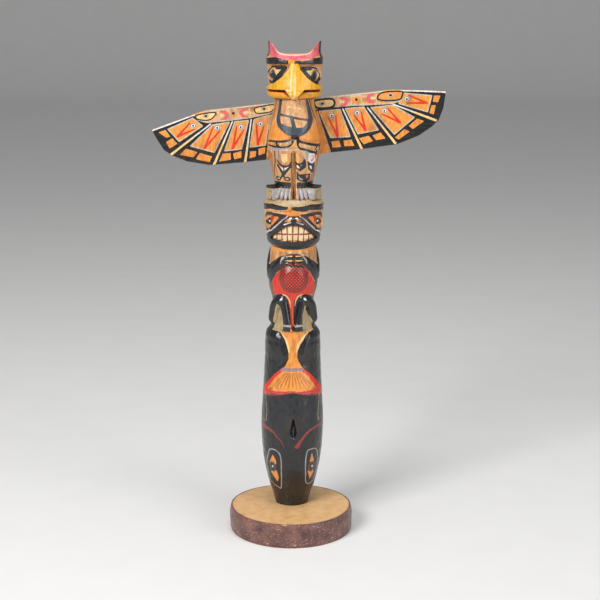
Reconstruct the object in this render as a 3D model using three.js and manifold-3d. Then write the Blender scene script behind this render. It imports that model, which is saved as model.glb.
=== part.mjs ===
// A small carved totem pole: an eagle above a bear above a killer whale, on a slice of a log.
// Millimetres, +Z up, the figures face -Y. The origin is the middle of the slice's underside.
// Inside the pole's own group, heights start at the foot and the pole's axis is x = y = 0.
import * as THREE from "three";
import { mergeVertices } from "three/addons/utils/BufferGeometryUtils.js";
import Module from "manifold-3d";

const wasm = await Module();
wasm.setup();

// Driving dimensions.
const SLICE_RADIUS = 65;
const SLICE_THICKNESS = 26;
const BARK_SWELL = 1.2;
const FOOT = { x: 1, y: 12 };
const LEAN = THREE.MathUtils.degToRad(0.42);
const POLE_HEIGHT = 499;

const WHALE_TOP = 198;
const BEAR_CHIN = 286;
const BEAR_CROWN = 337;
const EAGLE_CHIN = 441;
const EAGLE_CROWN = 486;

const WING_SPAN = 311;
const WING_CHORD = 58.5;
const WING_THICKNESS = 6.5;
const WING_FRONT = 17;
const WING_ROLL = THREE.MathUtils.degToRad(6.35);
const WING_SHIFT = 3.3;
const LEADING_EDGE = 435.2;
const NOTCH_GAP = 0.3;

const BROW_LIFT = 1.8;
const SOCKET_DEPTH = 2.2;
const MUZZLE_LIFT = 3.4;
const SIDES = [-1, 1];
const LIMB_SIDES = 8;

// A closed three.js geometry as a solid, and a solid as a geometry with flat faces.
function solid(geometry) {
  const bare = geometry.clone();
  bare.deleteAttribute("normal");
  bare.deleteAttribute("uv");
  const merged = mergeVertices(bare, 1e-4);
  const mesh = new wasm.Mesh({
    numProp: 3,
    vertProperties: merged.attributes.position.array,
    triVerts: new Uint32Array(merged.index.array),
  });
  return new wasm.Manifold(mesh);
}

function geometryOf(body) {
  const mesh = body.getMesh();
  const indexed = new THREE.BufferGeometry();
  indexed.setAttribute("position", new THREE.BufferAttribute(mesh.vertProperties, 3));
  indexed.setIndex(new THREE.BufferAttribute(mesh.triVerts, 1));
  const flat = indexed.toNonIndexed();
  flat.computeVertexNormals();
  return flat;
}

const join = (bodies) => bodies.reduce((sum, body) => sum.add(body));
const vectors = (points) => points.map(([x, y]) => new THREE.Vector2(x, y));
const mirrored = (points, side) => points.map(([x, h]) => [x * side, h]);

// A point of the pole's surface: degrees round from the front (+ is the viewer's right),
// height and distance from the axis.
function onPole(degrees, height, radius) {
  const angle = THREE.MathUtils.degToRad(degrees);
  return new THREE.Vector3(radius * Math.sin(angle), -radius * Math.cos(angle), height);
}

// A body turned about the axis through the points [radius, height]. Its round section can be
// squared (power 2 is round) and pushed out by carve(degrees from the front, height).
function turned(points, steps, { segments = 30, power = 2, carve = () => 0, lift = 0 } = {}) {
  const outline = new THREE.SplineCurve(vectors(points)).getPoints(steps);
  const bottom = new THREE.Vector2(0, outline[0].y);
  const top = new THREE.Vector2(0, outline.at(-1).y);
  const lathe = new THREE.LatheGeometry([bottom, ...outline, top], segments);
  const geometry = lathe.rotateX(Math.PI / 2);
  const position = geometry.attributes.position;
  for (let i = 0; i < position.count; i += 1) {
    const x = position.getX(i);
    const y = position.getY(i);
    const radius = Math.hypot(x, y);
    if (radius < 1e-6) continue;
    const angle = Math.atan2(x, -y);
    const across = Math.abs(Math.sin(angle)) ** power + Math.abs(Math.cos(angle)) ** power;
    const push = lift + carve(THREE.MathUtils.radToDeg(angle), position.getZ(i));
    const scale = (radius + push) * across ** (-1 / power);
    position.setXY(i, scale * Math.sin(angle), -scale * Math.cos(angle));
  }
  return solid(geometry);
}

// An outline [x, height] as a plate that reaches from near to far along Y.
function plate(points, near = -60, far = -2) {
  const shape = new THREE.Shape(vectors(points));
  const geometry = new THREE.ExtrudeGeometry(shape, {
    depth: far - near,
    bevelEnabled: false,
  });
  return solid(geometry.rotateX(Math.PI / 2).translate(0, far, 0));
}

function ellipsoid(centre, radii, turn = [0, 0, 0], around = 14) {
  const geometry = new THREE.SphereGeometry(1, around, Math.round(around * 0.6));
  geometry.scale(...radii);
  geometry.applyMatrix4(new THREE.Matrix4().makeRotationFromEuler(new THREE.Euler(...turn)));
  geometry.translate(centre.x, centre.y, centre.z);
  return solid(geometry);
}

// A round limb through the points, with a ball at its first end.
function limb(points, radius, steps = 4) {
  const path = new THREE.CatmullRomCurve3(points);
  const round = new THREE.EllipseCurve(0, 0, radius, radius).getPoints(LIMB_SIDES);
  const tube = new THREE.ExtrudeGeometry(new THREE.Shape(round.slice(1)), {
    steps,
    bevelEnabled: false,
    extrudePath: path,
  });
  const ball = ellipsoid(points[0], [radius, radius, radius], [0, 0, 0], LIMB_SIDES);
  return solid(tube).add(ball);
}

// Relief cut with straight walls: what lies under the outline comes up to the swollen body,
// or goes down to the shrunk one.
const raised = (body, outline, swollen) => body.add(plate(outline).intersect(swollen));
const sunk = (body, outline, shrunk) => body.subtract(plate(outline).subtract(shrunk));

// Killer whale, head down. Its tail comes up the front as a narrow neck and spreads below it
// into a fan with a proud lower edge.
const WHALE_PROFILE = [
  [18, 0],
  [20.3, 10],
  [24.4, 22],
  [27.4, 34],
  [29.8, 45],
  [31.5, 57],
  [33, 75],
  [33.5, 93],
  [32.6, 114],
  [31.3, 136],
  [30.3, 158],
  [30, 184],
  [28.6, 193],
  [24.5, WHALE_TOP - 0.6],
];
const TAIL_SIDE = [
  [16, WHALE_TOP + 1],
  [12.8, 192],
  [7.4, 182],
  [4.6, 170],
  [6.2, 163],
  [10.4, 158],
  [19.4, 149],
  [29, 135.5],
  [30, 126],
  [20, 128.5],
];

function whale() {
  const body = turned(WHALE_PROFILE, 13);
  const ramp = turned(
    [
      [33.4, 124],
      [33.4, 130],
      [32, 143],
      [29, 156],
      [26.4, 168],
      [26, 184],
      [27, WHALE_TOP + 1],
    ],
    7,
  );
  const fanMiddle = [0, 132.2];
  const left = mirrored(TAIL_SIDE, -1).reverse();
  const tail = plate([...TAIL_SIDE, fanMiddle, ...left]);
  const blowhole = ellipsoid(onPole(1.4, 91, 34), [2.8, 4.5, 12.5], [0, 0, 0], 10);
  return body.subtract(tail.subtract(ramp)).add(tail.intersect(ramp)).subtract(blowhole);
}

// Bear: it squats on the whale, its hands meet on its belly and its knees are drawn up.
function bearBody() {
  const torso = turned(
    [
      [24.5, WHALE_TOP - 2],
      [22.5, 206],
      [21.5, 218],
      [22.5, 230],
      [25.2, 240],
      [26.4, 256],
      [25.4, 270],
      [24.6, 280],
      [24.6, BEAR_CHIN + 4],
    ],
    9,
    { segments: 26 },
  );
  const belly = ellipsoid(onPole(0, 252, 15), [19.5, 13.5, 17], [0, 0, 0], 10);
  const route = (side, ...stations) =>
    stations.map(([degrees, height, reach]) => onPole(degrees * side, height, reach));
  const limbs = SIDES.flatMap((side) => [
    limb(route(side, [76, 256, 21.6], [92, 266, 21], [108, 279, 19]), 7, 3),
    limb(route(side, [74, 256, 21.6], [50, 262, 22.4], [26, 272.5, 23]), 6.8),
    limb(route(side, [29, 231.5, 21.5], [21, 217, 22.4], [15, 202, 23.5]), 4.6, 3),
    limb(route(side, [66, 208, 21.6], [58, 222, 20.8], [32, 230.5, 20]), 6.4),
    plate(mirrored([[0.8, 198], [11, 198], [10.6, 204.5], [1.4, 204.5]], side), -29.5, -18),
  ]);
  const fingers = SIDES.flatMap((side) =>
    [0, 1, 2, 3].map((row) => {
      const height = 269.6 + row * 2.9;
      const tilt = THREE.MathUtils.degToRad(14 * side);
      return ellipsoid(onPole(13 * side, height, 26.6), [7, 2.4, 1.75], [0, 0, tilt], 6);
    }),
  );
  const palms = SIDES.map((side) =>
    ellipsoid(onPole(15 * side, 274, 23.5), [7.6, 4, 7.2], [0, 0, 0], 8),
  );
  return join([torso, belly, ...limbs, ...palms, ...fingers]);
}

const BEAR_HEAD_PROFILE = [
  [21.5, BEAR_CHIN - 1],
  [25.6, 289],
  [28.4, 295],
  [30, 304],
  [30.6, 316],
  [30.8, 327],
  [30.4, 333],
  [26.5, BEAR_CROWN],
];

function bearHead() {
  const shaped = (lift) => turned(BEAR_HEAD_PROFILE, 8, { power: 2.25, lift });
  let head = shaped(0);
  const forward = (degrees) => {
    const angle = THREE.MathUtils.degToRad(Math.min(90, Math.abs(degrees)));
    return MUZZLE_LIFT * Math.cos(angle) ** 0.7;
  };
  const muzzleSwell = turned(BEAR_HEAD_PROFILE, 8, { power: 2.25, carve: forward });
  for (const side of SIDES) {
    const socket = [[7, 322], [24, 321], [25.4, 313], [24.6, 305], [22.6, 303.4]];
    head = sunk(head, mirrored(socket, side), shaped(-SOCKET_DEPTH));
    const brow = [[2.6, 331], [16, 330.2], [32, 332], [32, 323.4], [16, 326], [2.6, 326.4]];
    head = raised(head, mirrored(brow, side), shaped(BROW_LIFT));
    head = head.add(ellipsoid(onPole(55 * side, 312.6, 26.4), [3.4, 3.4, 4.6], [0, 0, 0], 8));
  }
  const lips = [[6.4, 320.4], [17, 308], [28.4, 296], [29, 292.6], [24.6, 288.6], [12, 287.4]];
  head = raised(head, [...lips, ...mirrored(lips, -1).reverse()], muzzleSwell);
  const mouthSide = [[6, 310.6], [14.5, 304.6], [23.9, 296.2], [14, 294.6]];
  const mouth = [...mouthSide, [0, 293.6], ...mirrored(mouthSide, -1).reverse()];
  head = sunk(head, mouth, shaped(-0.6));
  const toothPitch = 5.8;
  const toothWidth = 4.8;
  for (let i = -3; i < 3; i += 1) {
    const left = i * toothPitch + (toothPitch - toothWidth) / 2;
    const right = left + toothWidth;
    for (const [root, tip] of [[311, 303], [293, 301.8]]) {
      const tooth = [[left, root], [right, root], [right, tip], [left, tip]];
      head = head.add(plate(tooth).intersect(shaped(1)));
    }
  }
  const nose = ellipsoid(onPole(0, 317, 32), [6.4, 4.4, 4.4], [0, 0, 0], 10);
  const ears = SIDES.map((side) => {
    const ear = [[19, 335], [19.4, 341], [20.8, 347.6], [28.6, 350], [27.6, 342], [30.4, 334]];
    return plate(mirrored(ear, side), -20, -9);
  });
  return join([head, nose, ...ears]);
}

// Eagle: thick feathered legs side by side, a bib on the breast, and a blocky head.
function eagleBody() {
  const profile = [
    [20.5, BEAR_CROWN - 2],
    [20.2, 350],
    [22.6, 362],
    [26.2, 378],
    [27.6, 388],
    [27.2, 398],
    [25, 413],
    [21.8, 429],
    [20, EAGLE_CHIN + 5],
  ];
  let body = turned(profile, 9, { segments: 28 });
  const bibSide = [[14, 441], [17.2, 425], [15.6, 413], [9.5, 405]];
  const bib = [...bibSide, [0, 402], ...mirrored(bibSide, -1).reverse()];
  body = raised(body, bib, turned(profile, 9, { segments: 28, lift: 1.2 }));
  const legGap = [[-1.6, BEAR_CROWN - 4], [2.2, BEAR_CROWN - 4], [1.4, 392], [-1, 392]];
  body = sunk(body, legGap, turned(profile, 9, { segments: 28, lift: -4 }));
  const thighLine = [[-28, 394.4], [0, 399], [28, 394.4], [28, 396.4], [0, 401], [-28, 396.4]];
  body = sunk(body, thighLine, turned(profile, 9, { segments: 28, lift: -1.2 }));
  const toes = SIDES.flatMap((side) =>
    [0, 1, 2, 3].map((toe) =>
      ellipsoid(onPole((8.6 + toe * 11.6) * side, 342.6, 22.8), [2.5, 4.4, 6.6], [0.25, 0, 0], 6),
    ),
  );
  return join([body, ...toes]);
}

const EAGLE_HEAD_PROFILE = [
  [23.4, EAGLE_CHIN],
  [26.2, 444],
  [27, 452],
  [27.8, 464],
  [28.8, 475],
  [29, 482],
  [28.4, EAGLE_CROWN + 0.4],
];

function eagleHead() {
  const shaped = (lift) => turned(EAGLE_HEAD_PROFILE, 7, { power: 2.5, lift });
  let head = shaped(0);
  const ridge = (degrees, height) => {
    const reach = THREE.MathUtils.clamp((478 - height) / 34, 0, 1);
    const across = Math.max(0, 1 - Math.abs(degrees) / 58);
    return 2 + reach * (1.5 + 8.5 * across ** 1.6);
  };
  const beakSwell = turned(EAGLE_HEAD_PROFILE, 7, { power: 2.5, segments: 36, carve: ridge });
  const jawSwell = shaped(1.6);
  for (const side of SIDES) {
    const socket = [[5, 475.4], [22.4, 474.8], [23.4, 466], [22, 457.6], [12, 464]];
    head = sunk(head, mirrored(socket, side), shaped(-SOCKET_DEPTH));
    const brow = [[3.6, 481.4], [16, 482], [27, 483.6], [27, 475], [16, 476], [3.6, 476.6]];
    head = raised(head, mirrored(brow, side), shaped(BROW_LIFT));
    head = head.add(ellipsoid(onPole(49 * side, 465.5, 26.4), [4, 3.6, 6], [0, 0, 0], 8));
  }
  const jaw = [[-26, 441], [26, 441], [26.6, 448], [-26.6, 448]];
  head = raised(head, jaw, jawSwell);
  const beakSide = [[3.6, 477.4], [5.6, 472], [11.6, 464], [18, 458.6], [26.4, 454.6], [26.8, 450]];
  const hookSide = [[8.4, 450.2], [4.2, 445], [2.6, 440.4]];
  const beak = [...beakSide, ...hookSide];
  head = raised(head, [...beak, ...mirrored(beak, -1).reverse()], beakSwell);
  const back = new THREE.BoxGeometry(80, 80, 20).rotateX(-0.12).translate(0, 20, EAGLE_CROWN + 7.2);
  head = head.subtract(solid(back));
  const crown = turned([[28.8, EAGLE_CROWN - 8], [28.4, POLE_HEIGHT]], 2, { power: 2.5 });
  const horns = SIDES.map((side) => {
    const crest = [[0, 479], [0, 486.2], [10, 486.6], [15, 487.6]];
    const horn = [[18.6, 491], [21.2, 495], [26.6, POLE_HEIGHT], [30, POLE_HEIGHT], [30, 479]];
    return plate(mirrored([...crest, ...horn], side), -30, -12).intersect(crown);
  });
  return join([head, ...horns]);
}

// The wings are one board. Its frame: x along the straight leading edge from the pole's axis,
// z up from that edge, front face at y = 0.
function wingOutline(side) {
  const half = WING_SPAN / 2;
  const tipDrop = side < 0 ? 13.8 : 7.8;
  return [
    [half * 0.62, 0],
    [half * 0.7, -tipDrop * 0.16],
    [half, -tipDrop],
    [half * 0.935, -36.5],
    [half * 0.885, -43],
    [half * 0.79, -51],
    [half * 0.64, -WING_CHORD + 1],
    [half * 0.42, -WING_CHORD],
    [half * 0.2, -WING_CHORD],
  ].map(([x, z]) => [x * side, z]);
}

function wingBoard() {
  const outline = [...wingOutline(1), ...wingOutline(-1).reverse()];
  const shape = new THREE.Shape(vectors(outline.map(([x, z]) => [x + WING_SHIFT, z])));
  const bevel = 0.7;
  const geometry = new THREE.ExtrudeGeometry(shape, {
    depth: WING_THICKNESS - 2 * bevel,
    bevelSize: bevel,
    bevelThickness: bevel,
    bevelOffset: -bevel,
    bevelSegments: 1,
  });
  return geometry.rotateX(Math.PI / 2).translate(0, WING_THICKNESS - bevel, 0);
}

// The notch takes the board from behind, with a little air all round.
function notch() {
  const depth = 40;
  const height = WING_CHORD + 2 * NOTCH_GAP;
  const box = new THREE.BoxGeometry(120, depth, height);
  box.translate(0, depth / 2 - NOTCH_GAP, -WING_CHORD / 2);
  return box;
}

function placeWings(geometry) {
  return geometry.rotateY(-WING_ROLL).translate(0, WING_FRONT, LEADING_EDGE);
}

// A slice of a log with its bark: a slightly uneven round, a little fuller at half height.
function slice() {
  const steps = 44;
  const layers = [
    [0, -0.6],
    [3, 0.4],
    [SLICE_THICKNESS - 8, BARK_SWELL],
    [SLICE_THICKNESS, -0.4],
  ];
  const outline = layers.map(([height, grow]) => new THREE.Vector2(SLICE_RADIUS + grow, height));
  const below = new THREE.Vector2(0, 0);
  const above = new THREE.Vector2(0, SLICE_THICKNESS);
  const geometry = new THREE.LatheGeometry([below, ...outline, above], steps);
  geometry.rotateX(Math.PI / 2);
  const position = geometry.attributes.position;
  for (let i = 0; i < position.count; i += 1) {
    const angle = Math.atan2(position.getY(i), position.getX(i));
    const uneven = 1 + 0.012 * Math.cos(2 * angle + 0.6) + 0.008 * Math.sin(3 * angle);
    position.setXY(i, position.getX(i) * uneven, position.getY(i) * uneven);
  }
  return geometryOf(solid(geometry));
}

function poleGeometry() {
  const figures = join([whale(), bearBody(), bearHead(), eagleBody(), eagleHead()]);
  const cut = figures.subtract(solid(placeWings(notch())));
  const leaning = new THREE.Matrix4().makeShear(0, 0, 0, 0, Math.tan(LEAN), 0);
  return geometryOf(cut).applyMatrix4(leaning);
}

function named(name, geometry, color, roughness) {
  const material = new THREE.MeshStandardMaterial({ color, roughness, metalness: 0 });
  const mesh = new THREE.Mesh(geometry, material);
  mesh.name = name;
  return mesh;
}

const totem = new THREE.Group();
totem.add(named("log_base", slice(), 0x8a5a48, 0.85));

const standing = new THREE.Group();
standing.position.set(FOOT.x, FOOT.y, SLICE_THICKNESS);
standing.add(named("pole", poleGeometry(), 0x3b2a22, 0.4));
const wings = named("wings", placeWings(wingBoard()), 0xdf9c52, 0.45);
wings.position.x = LEADING_EDGE * Math.tan(LEAN);
standing.add(wings);
totem.add(standing);

export default totem;
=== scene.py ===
import math

import bpy
import numpy as np
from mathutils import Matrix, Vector


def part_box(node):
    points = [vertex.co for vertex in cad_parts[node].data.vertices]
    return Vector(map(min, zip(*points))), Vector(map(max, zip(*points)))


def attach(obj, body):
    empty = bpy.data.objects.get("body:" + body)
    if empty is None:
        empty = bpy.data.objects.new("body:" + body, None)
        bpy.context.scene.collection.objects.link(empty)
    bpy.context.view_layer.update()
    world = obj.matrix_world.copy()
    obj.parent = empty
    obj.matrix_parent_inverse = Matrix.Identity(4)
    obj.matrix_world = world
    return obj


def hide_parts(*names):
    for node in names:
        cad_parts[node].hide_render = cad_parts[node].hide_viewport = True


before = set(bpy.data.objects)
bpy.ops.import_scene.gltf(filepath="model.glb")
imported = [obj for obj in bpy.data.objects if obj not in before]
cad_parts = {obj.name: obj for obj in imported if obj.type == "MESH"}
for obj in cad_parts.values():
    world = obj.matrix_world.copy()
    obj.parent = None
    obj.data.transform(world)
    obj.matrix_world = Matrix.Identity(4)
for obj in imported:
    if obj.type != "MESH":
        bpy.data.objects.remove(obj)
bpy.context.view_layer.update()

MM = 0.001
GIRTH = 29.0
SLICE_LOW, SLICE_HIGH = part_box("log_base")
POLE_LOW, POLE_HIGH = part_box("pole")
FOOT_Z = POLE_LOW.z / MM
POLE_HEIGHT = (POLE_HIGH.z - POLE_LOW.z) / MM
FOOT = (1.0, 12.0)
LEAN = math.tan(math.radians(0.42))

SLICE_RADIUS = 64.5
BARK_RADIUS = 65.0

WHALE_TOP = 198.0
BEAR_CHIN = 286.0
BEAR_CROWN = 337.0
EAGLE_CHIN = 441.0
EAGLE_CROWN = 486.0

WING_CHORD = 58.5
WING_FRONT = 17.0
WING_THICKNESS = 6.5
WING_ROLL = math.radians(6.35)
WING_SHIFT = 3.3
WING_SPAN = 311.0
LEADING_EDGE = 435.2


# ---- outlines and how far a point lies inside them, in millimetres ----


def ease(t):
    t = np.clip(t, 0.0, 1.0)
    return t * t * (3.0 - 2.0 * t)


def both(points):
    """An outline from its right half, given from the top middle down to the bottom middle."""
    return list(points) + [(-x, y) for x, y in reversed(points) if abs(x) > 1e-6]


def rounded(points, closed=True, steps=5):
    """A flowing line through the points (Catmull-Rom)."""
    p = np.array(points, float)
    n = len(p)
    out = []
    for i in range(n if closed else n - 1):
        if closed:
            p0, p1, p2, p3 = p[i - 1], p[i], p[(i + 1) % n], p[(i + 2) % n]
        else:
            p0, p1, p2, p3 = p[max(i - 1, 0)], p[i], p[i + 1], p[min(i + 2, n - 1)]
        for t in np.linspace(0, 1, steps, endpoint=False):
            out.append(
                0.5 * (2 * p1 + (p2 - p0) * t + (2 * p0 - 5 * p1 + 4 * p2 - p3) * t**2
                       + (3 * p1 - p0 - 3 * p2 + p3) * t**3)
            )
    if not closed:
        out.append(p[-1])
    return [tuple(q) for q in out]


def oval(cx, cy, rx, ry, tilt=0.0, power=2.0, steps=24):
    """An ovoid; a power above 2 squares its corners."""
    out = []
    for k in range(steps):
        t = 2 * math.pi * k / steps
        x = rx * math.copysign(abs(math.cos(t)) ** (2 / power), math.cos(t))
        y = ry * math.copysign(abs(math.sin(t)) ** (2 / power), math.sin(t))
        c, s = math.cos(math.radians(tilt)), math.sin(math.radians(tilt))
        out.append((cx + x * c - y * s, cy + x * s + y * c))
    return out


FAR = -6.0


def near(u, v, points, margin):
    p = np.array(points, float)
    return (
        (u > p[:, 0].min() - margin)
        & (u < p[:, 0].max() + margin)
        & (v > p[:, 1].min() - margin)
        & (v < p[:, 1].max() + margin)
    )


def inside(u, v, points, margin=6.0):
    """Distance inside the closed outline, negative outside it."""
    depth = np.full(u.shape, FAR)
    pick = near(u, v, points, margin)
    x, y = u[pick], v[pick]
    within = np.zeros(x.shape, bool)
    nearest = np.full(x.shape, 1e9)
    for (ax, ay), (bx, by) in zip(points, points[1:] + points[:1]):
        ex, ey = bx - ax, by - ay
        t = np.clip(((x - ax) * ex + (y - ay) * ey) / (ex * ex + ey * ey + 1e-12), 0, 1)
        nearest = np.minimum(nearest, np.hypot(x - ax - t * ex, y - ay - t * ey))
        crosses = (ay > y) != (by > y)
        within ^= crosses & (x < ex * (y - ay) / (ey if abs(ey) > 1e-12 else 1e-12) + ax)
    depth[pick] = np.maximum(np.where(within, nearest, -nearest), FAR)
    return depth


def along(u, v, points, widths):
    """Distance inside a brush line through the points, as wide as widths says at each."""
    if np.isscalar(widths):
        widths = [widths] * len(points)
    spread = np.interp(np.linspace(0, 1, len(points)), np.linspace(0, 1, len(widths)), widths)
    depth = np.full(u.shape, FAR)
    pick = near(u, v, points, 6.0 + max(widths) / 2)
    x, y = u[pick], v[pick]
    best = np.full(x.shape, FAR)
    for (ax, ay), (bx, by), wa, wb in zip(points, points[1:], spread, spread[1:]):
        ex, ey = bx - ax, by - ay
        t = np.clip(((x - ax) * ex + (y - ay) * ey) / (ex * ex + ey * ey + 1e-12), 0, 1)
        gap = np.hypot(x - ax - t * ex, y - ay - t * ey)
        best = np.maximum(best, (wa + (wb - wa) * t) / 2 - gap)
    depth[pick] = best
    return depth


def curve(points, x):
    """A smooth height-to-radius curve through [(radius, height), ...] (cubic Hermite)."""
    p = np.array(points, float)
    h, r = p[:, 1], p[:, 0]
    slope = np.gradient(r, h)
    i = np.clip(np.searchsorted(h, x) - 1, 0, len(h) - 2)
    step = h[i + 1] - h[i]
    t = np.clip((x - h[i]) / step, 0, 1)
    return (
        (2 * t**3 - 3 * t**2 + 1) * r[i]
        + (t**3 - 2 * t**2 + t) * step * slope[i]
        + (3 * t**2 - 2 * t**3) * r[i + 1]
        + (t**3 - t**2) * step * slope[i + 1]
    )


def scatter(i, j, seed):
    """A fixed random number from 0 to 1 for each whole i, j."""
    k = (i.astype(np.int64) * 73856093) ^ (j.astype(np.int64) * 19349663) ^ (seed * 83492791)
    k = (k ^ (k >> 13)) * 1274126177
    return ((k ^ (k >> 16)) & 0xFFFFF) / float(0xFFFFF)


def knife_cuts(u, v, wide, tall, seed=1):
    """Shallow scoops side by side, as a straight knife leaves: 0 in each, 1 on the ridges."""
    i0, j0 = np.floor(u / wide), np.floor(v / tall)
    best = np.full(np.shape(u), 9.0)
    for di in (-1, 0, 1):
        for dj in (-1, 0, 1):
            i, j = i0 + di, j0 + dj
            x = (i + 0.15 + 0.7 * scatter(i, j, seed)) * wide
            y = (j + 0.1 + 0.8 * scatter(i, j, seed + 7)) * tall
            best = np.minimum(best, ((u - x) / wide) ** 2 + ((v - y) / tall) ** 2)
    return np.minimum(best / 0.55, 1.0)


# ---- the pole's carving: how far its surface stands from the axis ----

WHALE = [
    (18, 0), (20.3, 10), (24.4, 22), (27.4, 34), (29.8, 45), (31.5, 57), (33, 75),
    (33.5, 93), (32.6, 114), (31.3, 136), (30.3, 158), (30, 184), (28.6, 193), (24.5, 197.4),
]
TAIL_FLOOR = [(33.4, 124), (33.4, 130), (32, 143), (29.6, 156), (27.6, 168), (27, 184), (27, 199)]
TAIL = both(
    [(0, 199), (17, 199), (13.2, 192), (7.5, 182), (4.6, 170), (6.2, 163), (10.4, 158), (20.4, 149),
     (32, 137), (35.5, 133), (36, 126), (22, 128.5), (8, 131.6), (0, 132.4)]
)
BLOWHOLE = rounded([(0.8, 104.5), (3.2, 96), (4.2, 86), (0.8, 80), (-2.4, 86), (-1.2, 96)])

BEAR_TORSO = [
    (24.5, 196), (22.5, 206), (21.5, 218), (22.5, 230), (25.2, 240), (26.4, 256), (25.4, 270),
    (24.6, 280), (24.6, 290),
]
BELLY = oval(1.0, 254, 18, 15.5, power=2.3)
BEAR_HEAD = [
    (21.5, 285), (25.6, 289), (28.4, 295), (30, 304), (30.6, 316), (30.8, 327), (30.4, 333),
    (26.5, 337),
]
BEAR_SOCKET = rounded([(7, 322), (24, 321.2), (31, 319), (32, 311), (29.5, 304), (24, 303.4), (15, 312)])
BEAR_BROW = [(2.4, 327), (9, 326), (20, 325.6), (36, 322.8), (42, 322), (44, 331.5), (34, 331.8), (16, 331),
             (2.4, 331)]
BEAR_CHEEK = rounded([(33, 319.5), (38, 312), (33, 305.5), (28.5, 312)])
MUZZLE = both(
    [(0, 320.6), (6.6, 320.4), (11, 315), (20, 306), (31, 297), (34, 294), (32.5, 290.6), (26, 288.6),
     (12, 287.6), (0, 287)]
)
MOUTH = both([(0, 311), (6.4, 310.8), (14.5, 304.8), (25, 296.6), (14, 294.6), (0, 293.6)])
BEAR_NOSE = both([(0, 320.6), (5.4, 319.6), (8.6, 315.4), (6.4, 313), (2.4, 312.6), (0, 311.8)])
TOOTH = 5.8
GUM = 301.4
HATCH = 3.6
BEAR_EAR = [(21, 337), (21.5, 343), (23.4, 347.8), (33, 349.2), (40, 350), (39.5, 343), (42, 337)]

EAGLE_TORSO = [
    (20.5, 335), (20.2, 350), (22.6, 362), (26.2, 378), (27.6, 388), (27.2, 398), (25, 413),
    (21.8, 429), (20, 446),
]
BIB = both([(0, 443), (16.6, 443), (20.5, 434), (21, 425), (18.6, 413), (11, 405.5), (4, 402), (0, 401)])
LEG_GAP = [(-1.9, 330), (2.2, 330), (1.8, 390), (0.4, 396), (-1.2, 390)]
EAGLE_HEAD = [
    (23.4, 441), (26.2, 444), (27, 452), (27.8, 464), (28.8, 475), (29, 482), (28.4, 487), (28.4, 500),
]
EAGLE_SOCKET = rounded([(5.6, 475.2), (20, 474.8), (30, 473), (32.5, 466), (29, 458), (22, 457.4),
                        (13, 463.6)])
EAGLE_BROW = [(3.8, 476.8), (16, 476.2), (40, 474.4), (46, 475), (46, 484), (38, 484), (16, 482),
              (3.8, 481.4)]
EAGLE_CHEEK = rounded([(31, 472.5), (35.5, 465), (31, 457.5), (26.5, 465)])
BEAK = both(
    [(0, 478), (3.6, 477.4), (6, 471.5), (11.6, 464.2), (19, 458.6), (29, 454.6), (36, 453), (36, 450.4),
     (22, 450), (9, 450.4), (5.4, 446), (3, 440.6), (0, 439.6)]
)
JAW = [(-42, 441), (42, 441), (42, 448.6), (-42, 448.6)]


def squared(angle, power):
    return (np.abs(np.sin(angle)) ** power + np.abs(np.cos(angle)) ** power) ** (-1 / power)


def step_up(a, h, outline, rise, bevel=1.1):
    """Relief under an outline: its wall slopes over the bevel."""
    return rise * ease((inside(a, h, outline) + bevel / 2) / bevel)


def limb(r, a, h, stations, width):
    """A round limb that lies on the pole through (degrees, height, distance of its middle)."""
    path = rounded([(math.radians(d) * GIRTH, y) for d, y, _ in stations], closed=False, steps=6)
    middle = [c for _, _, c in stations]
    seat = np.interp(np.linspace(0, 1, len(path)), np.linspace(0, 1, len(middle)), middle)
    out = r.copy()
    pick = near(a, h, path, width * 1.5)
    x, y, best = a[pick], h[pick], r[pick]
    for (ax, ay), (bx, by), c in zip(path, path[1:], seat):
        k = c / GIRTH
        ex, ey = (bx - ax) * k, by - ay
        t = np.clip(((x - ax) * k * ex + (y - ay) * ey) / (ex * ex + ey * ey), 0, 1)
        gap = np.hypot((x - ax) * k - t * ex, y - ay - t * ey) / width
        best = np.maximum(best, np.where(gap < 1, c + width * np.sqrt(np.maximum(1 - gap**2, 0)), 0))
    out[pick] = best
    return out


def whale_surface(a, h, angle):
    r = curve(WHALE, h)
    depth = inside(a, h, TAIL, 12)
    beside = ease(1 - np.clip(-depth, 0, 9) / 9) * ease((184 - np.abs(h - 178)) / 184)
    scooped = r - 2.6 * beside * ease((h - 156) / 12) * ease((197 - h) / 6)
    r = np.where(h > 150, scooped, r)
    r = r + (curve(TAIL_FLOOR, h) - r) * ease((depth + 0.5) / 1.0)
    rib = np.abs(((np.degrees(np.arctan2(a, h - 108)) + 90) % 9) - 4.5) / 4.5
    r -= 0.35 * ease((depth - 2.2) / 1.0) * ease((156 - h) / 4) * (1 - ease(rib * 2.4))
    hole = inside(a, h, BLOWHOLE)
    return r - 4.2 * ease((hole + 0.3) / 2.6)


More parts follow.
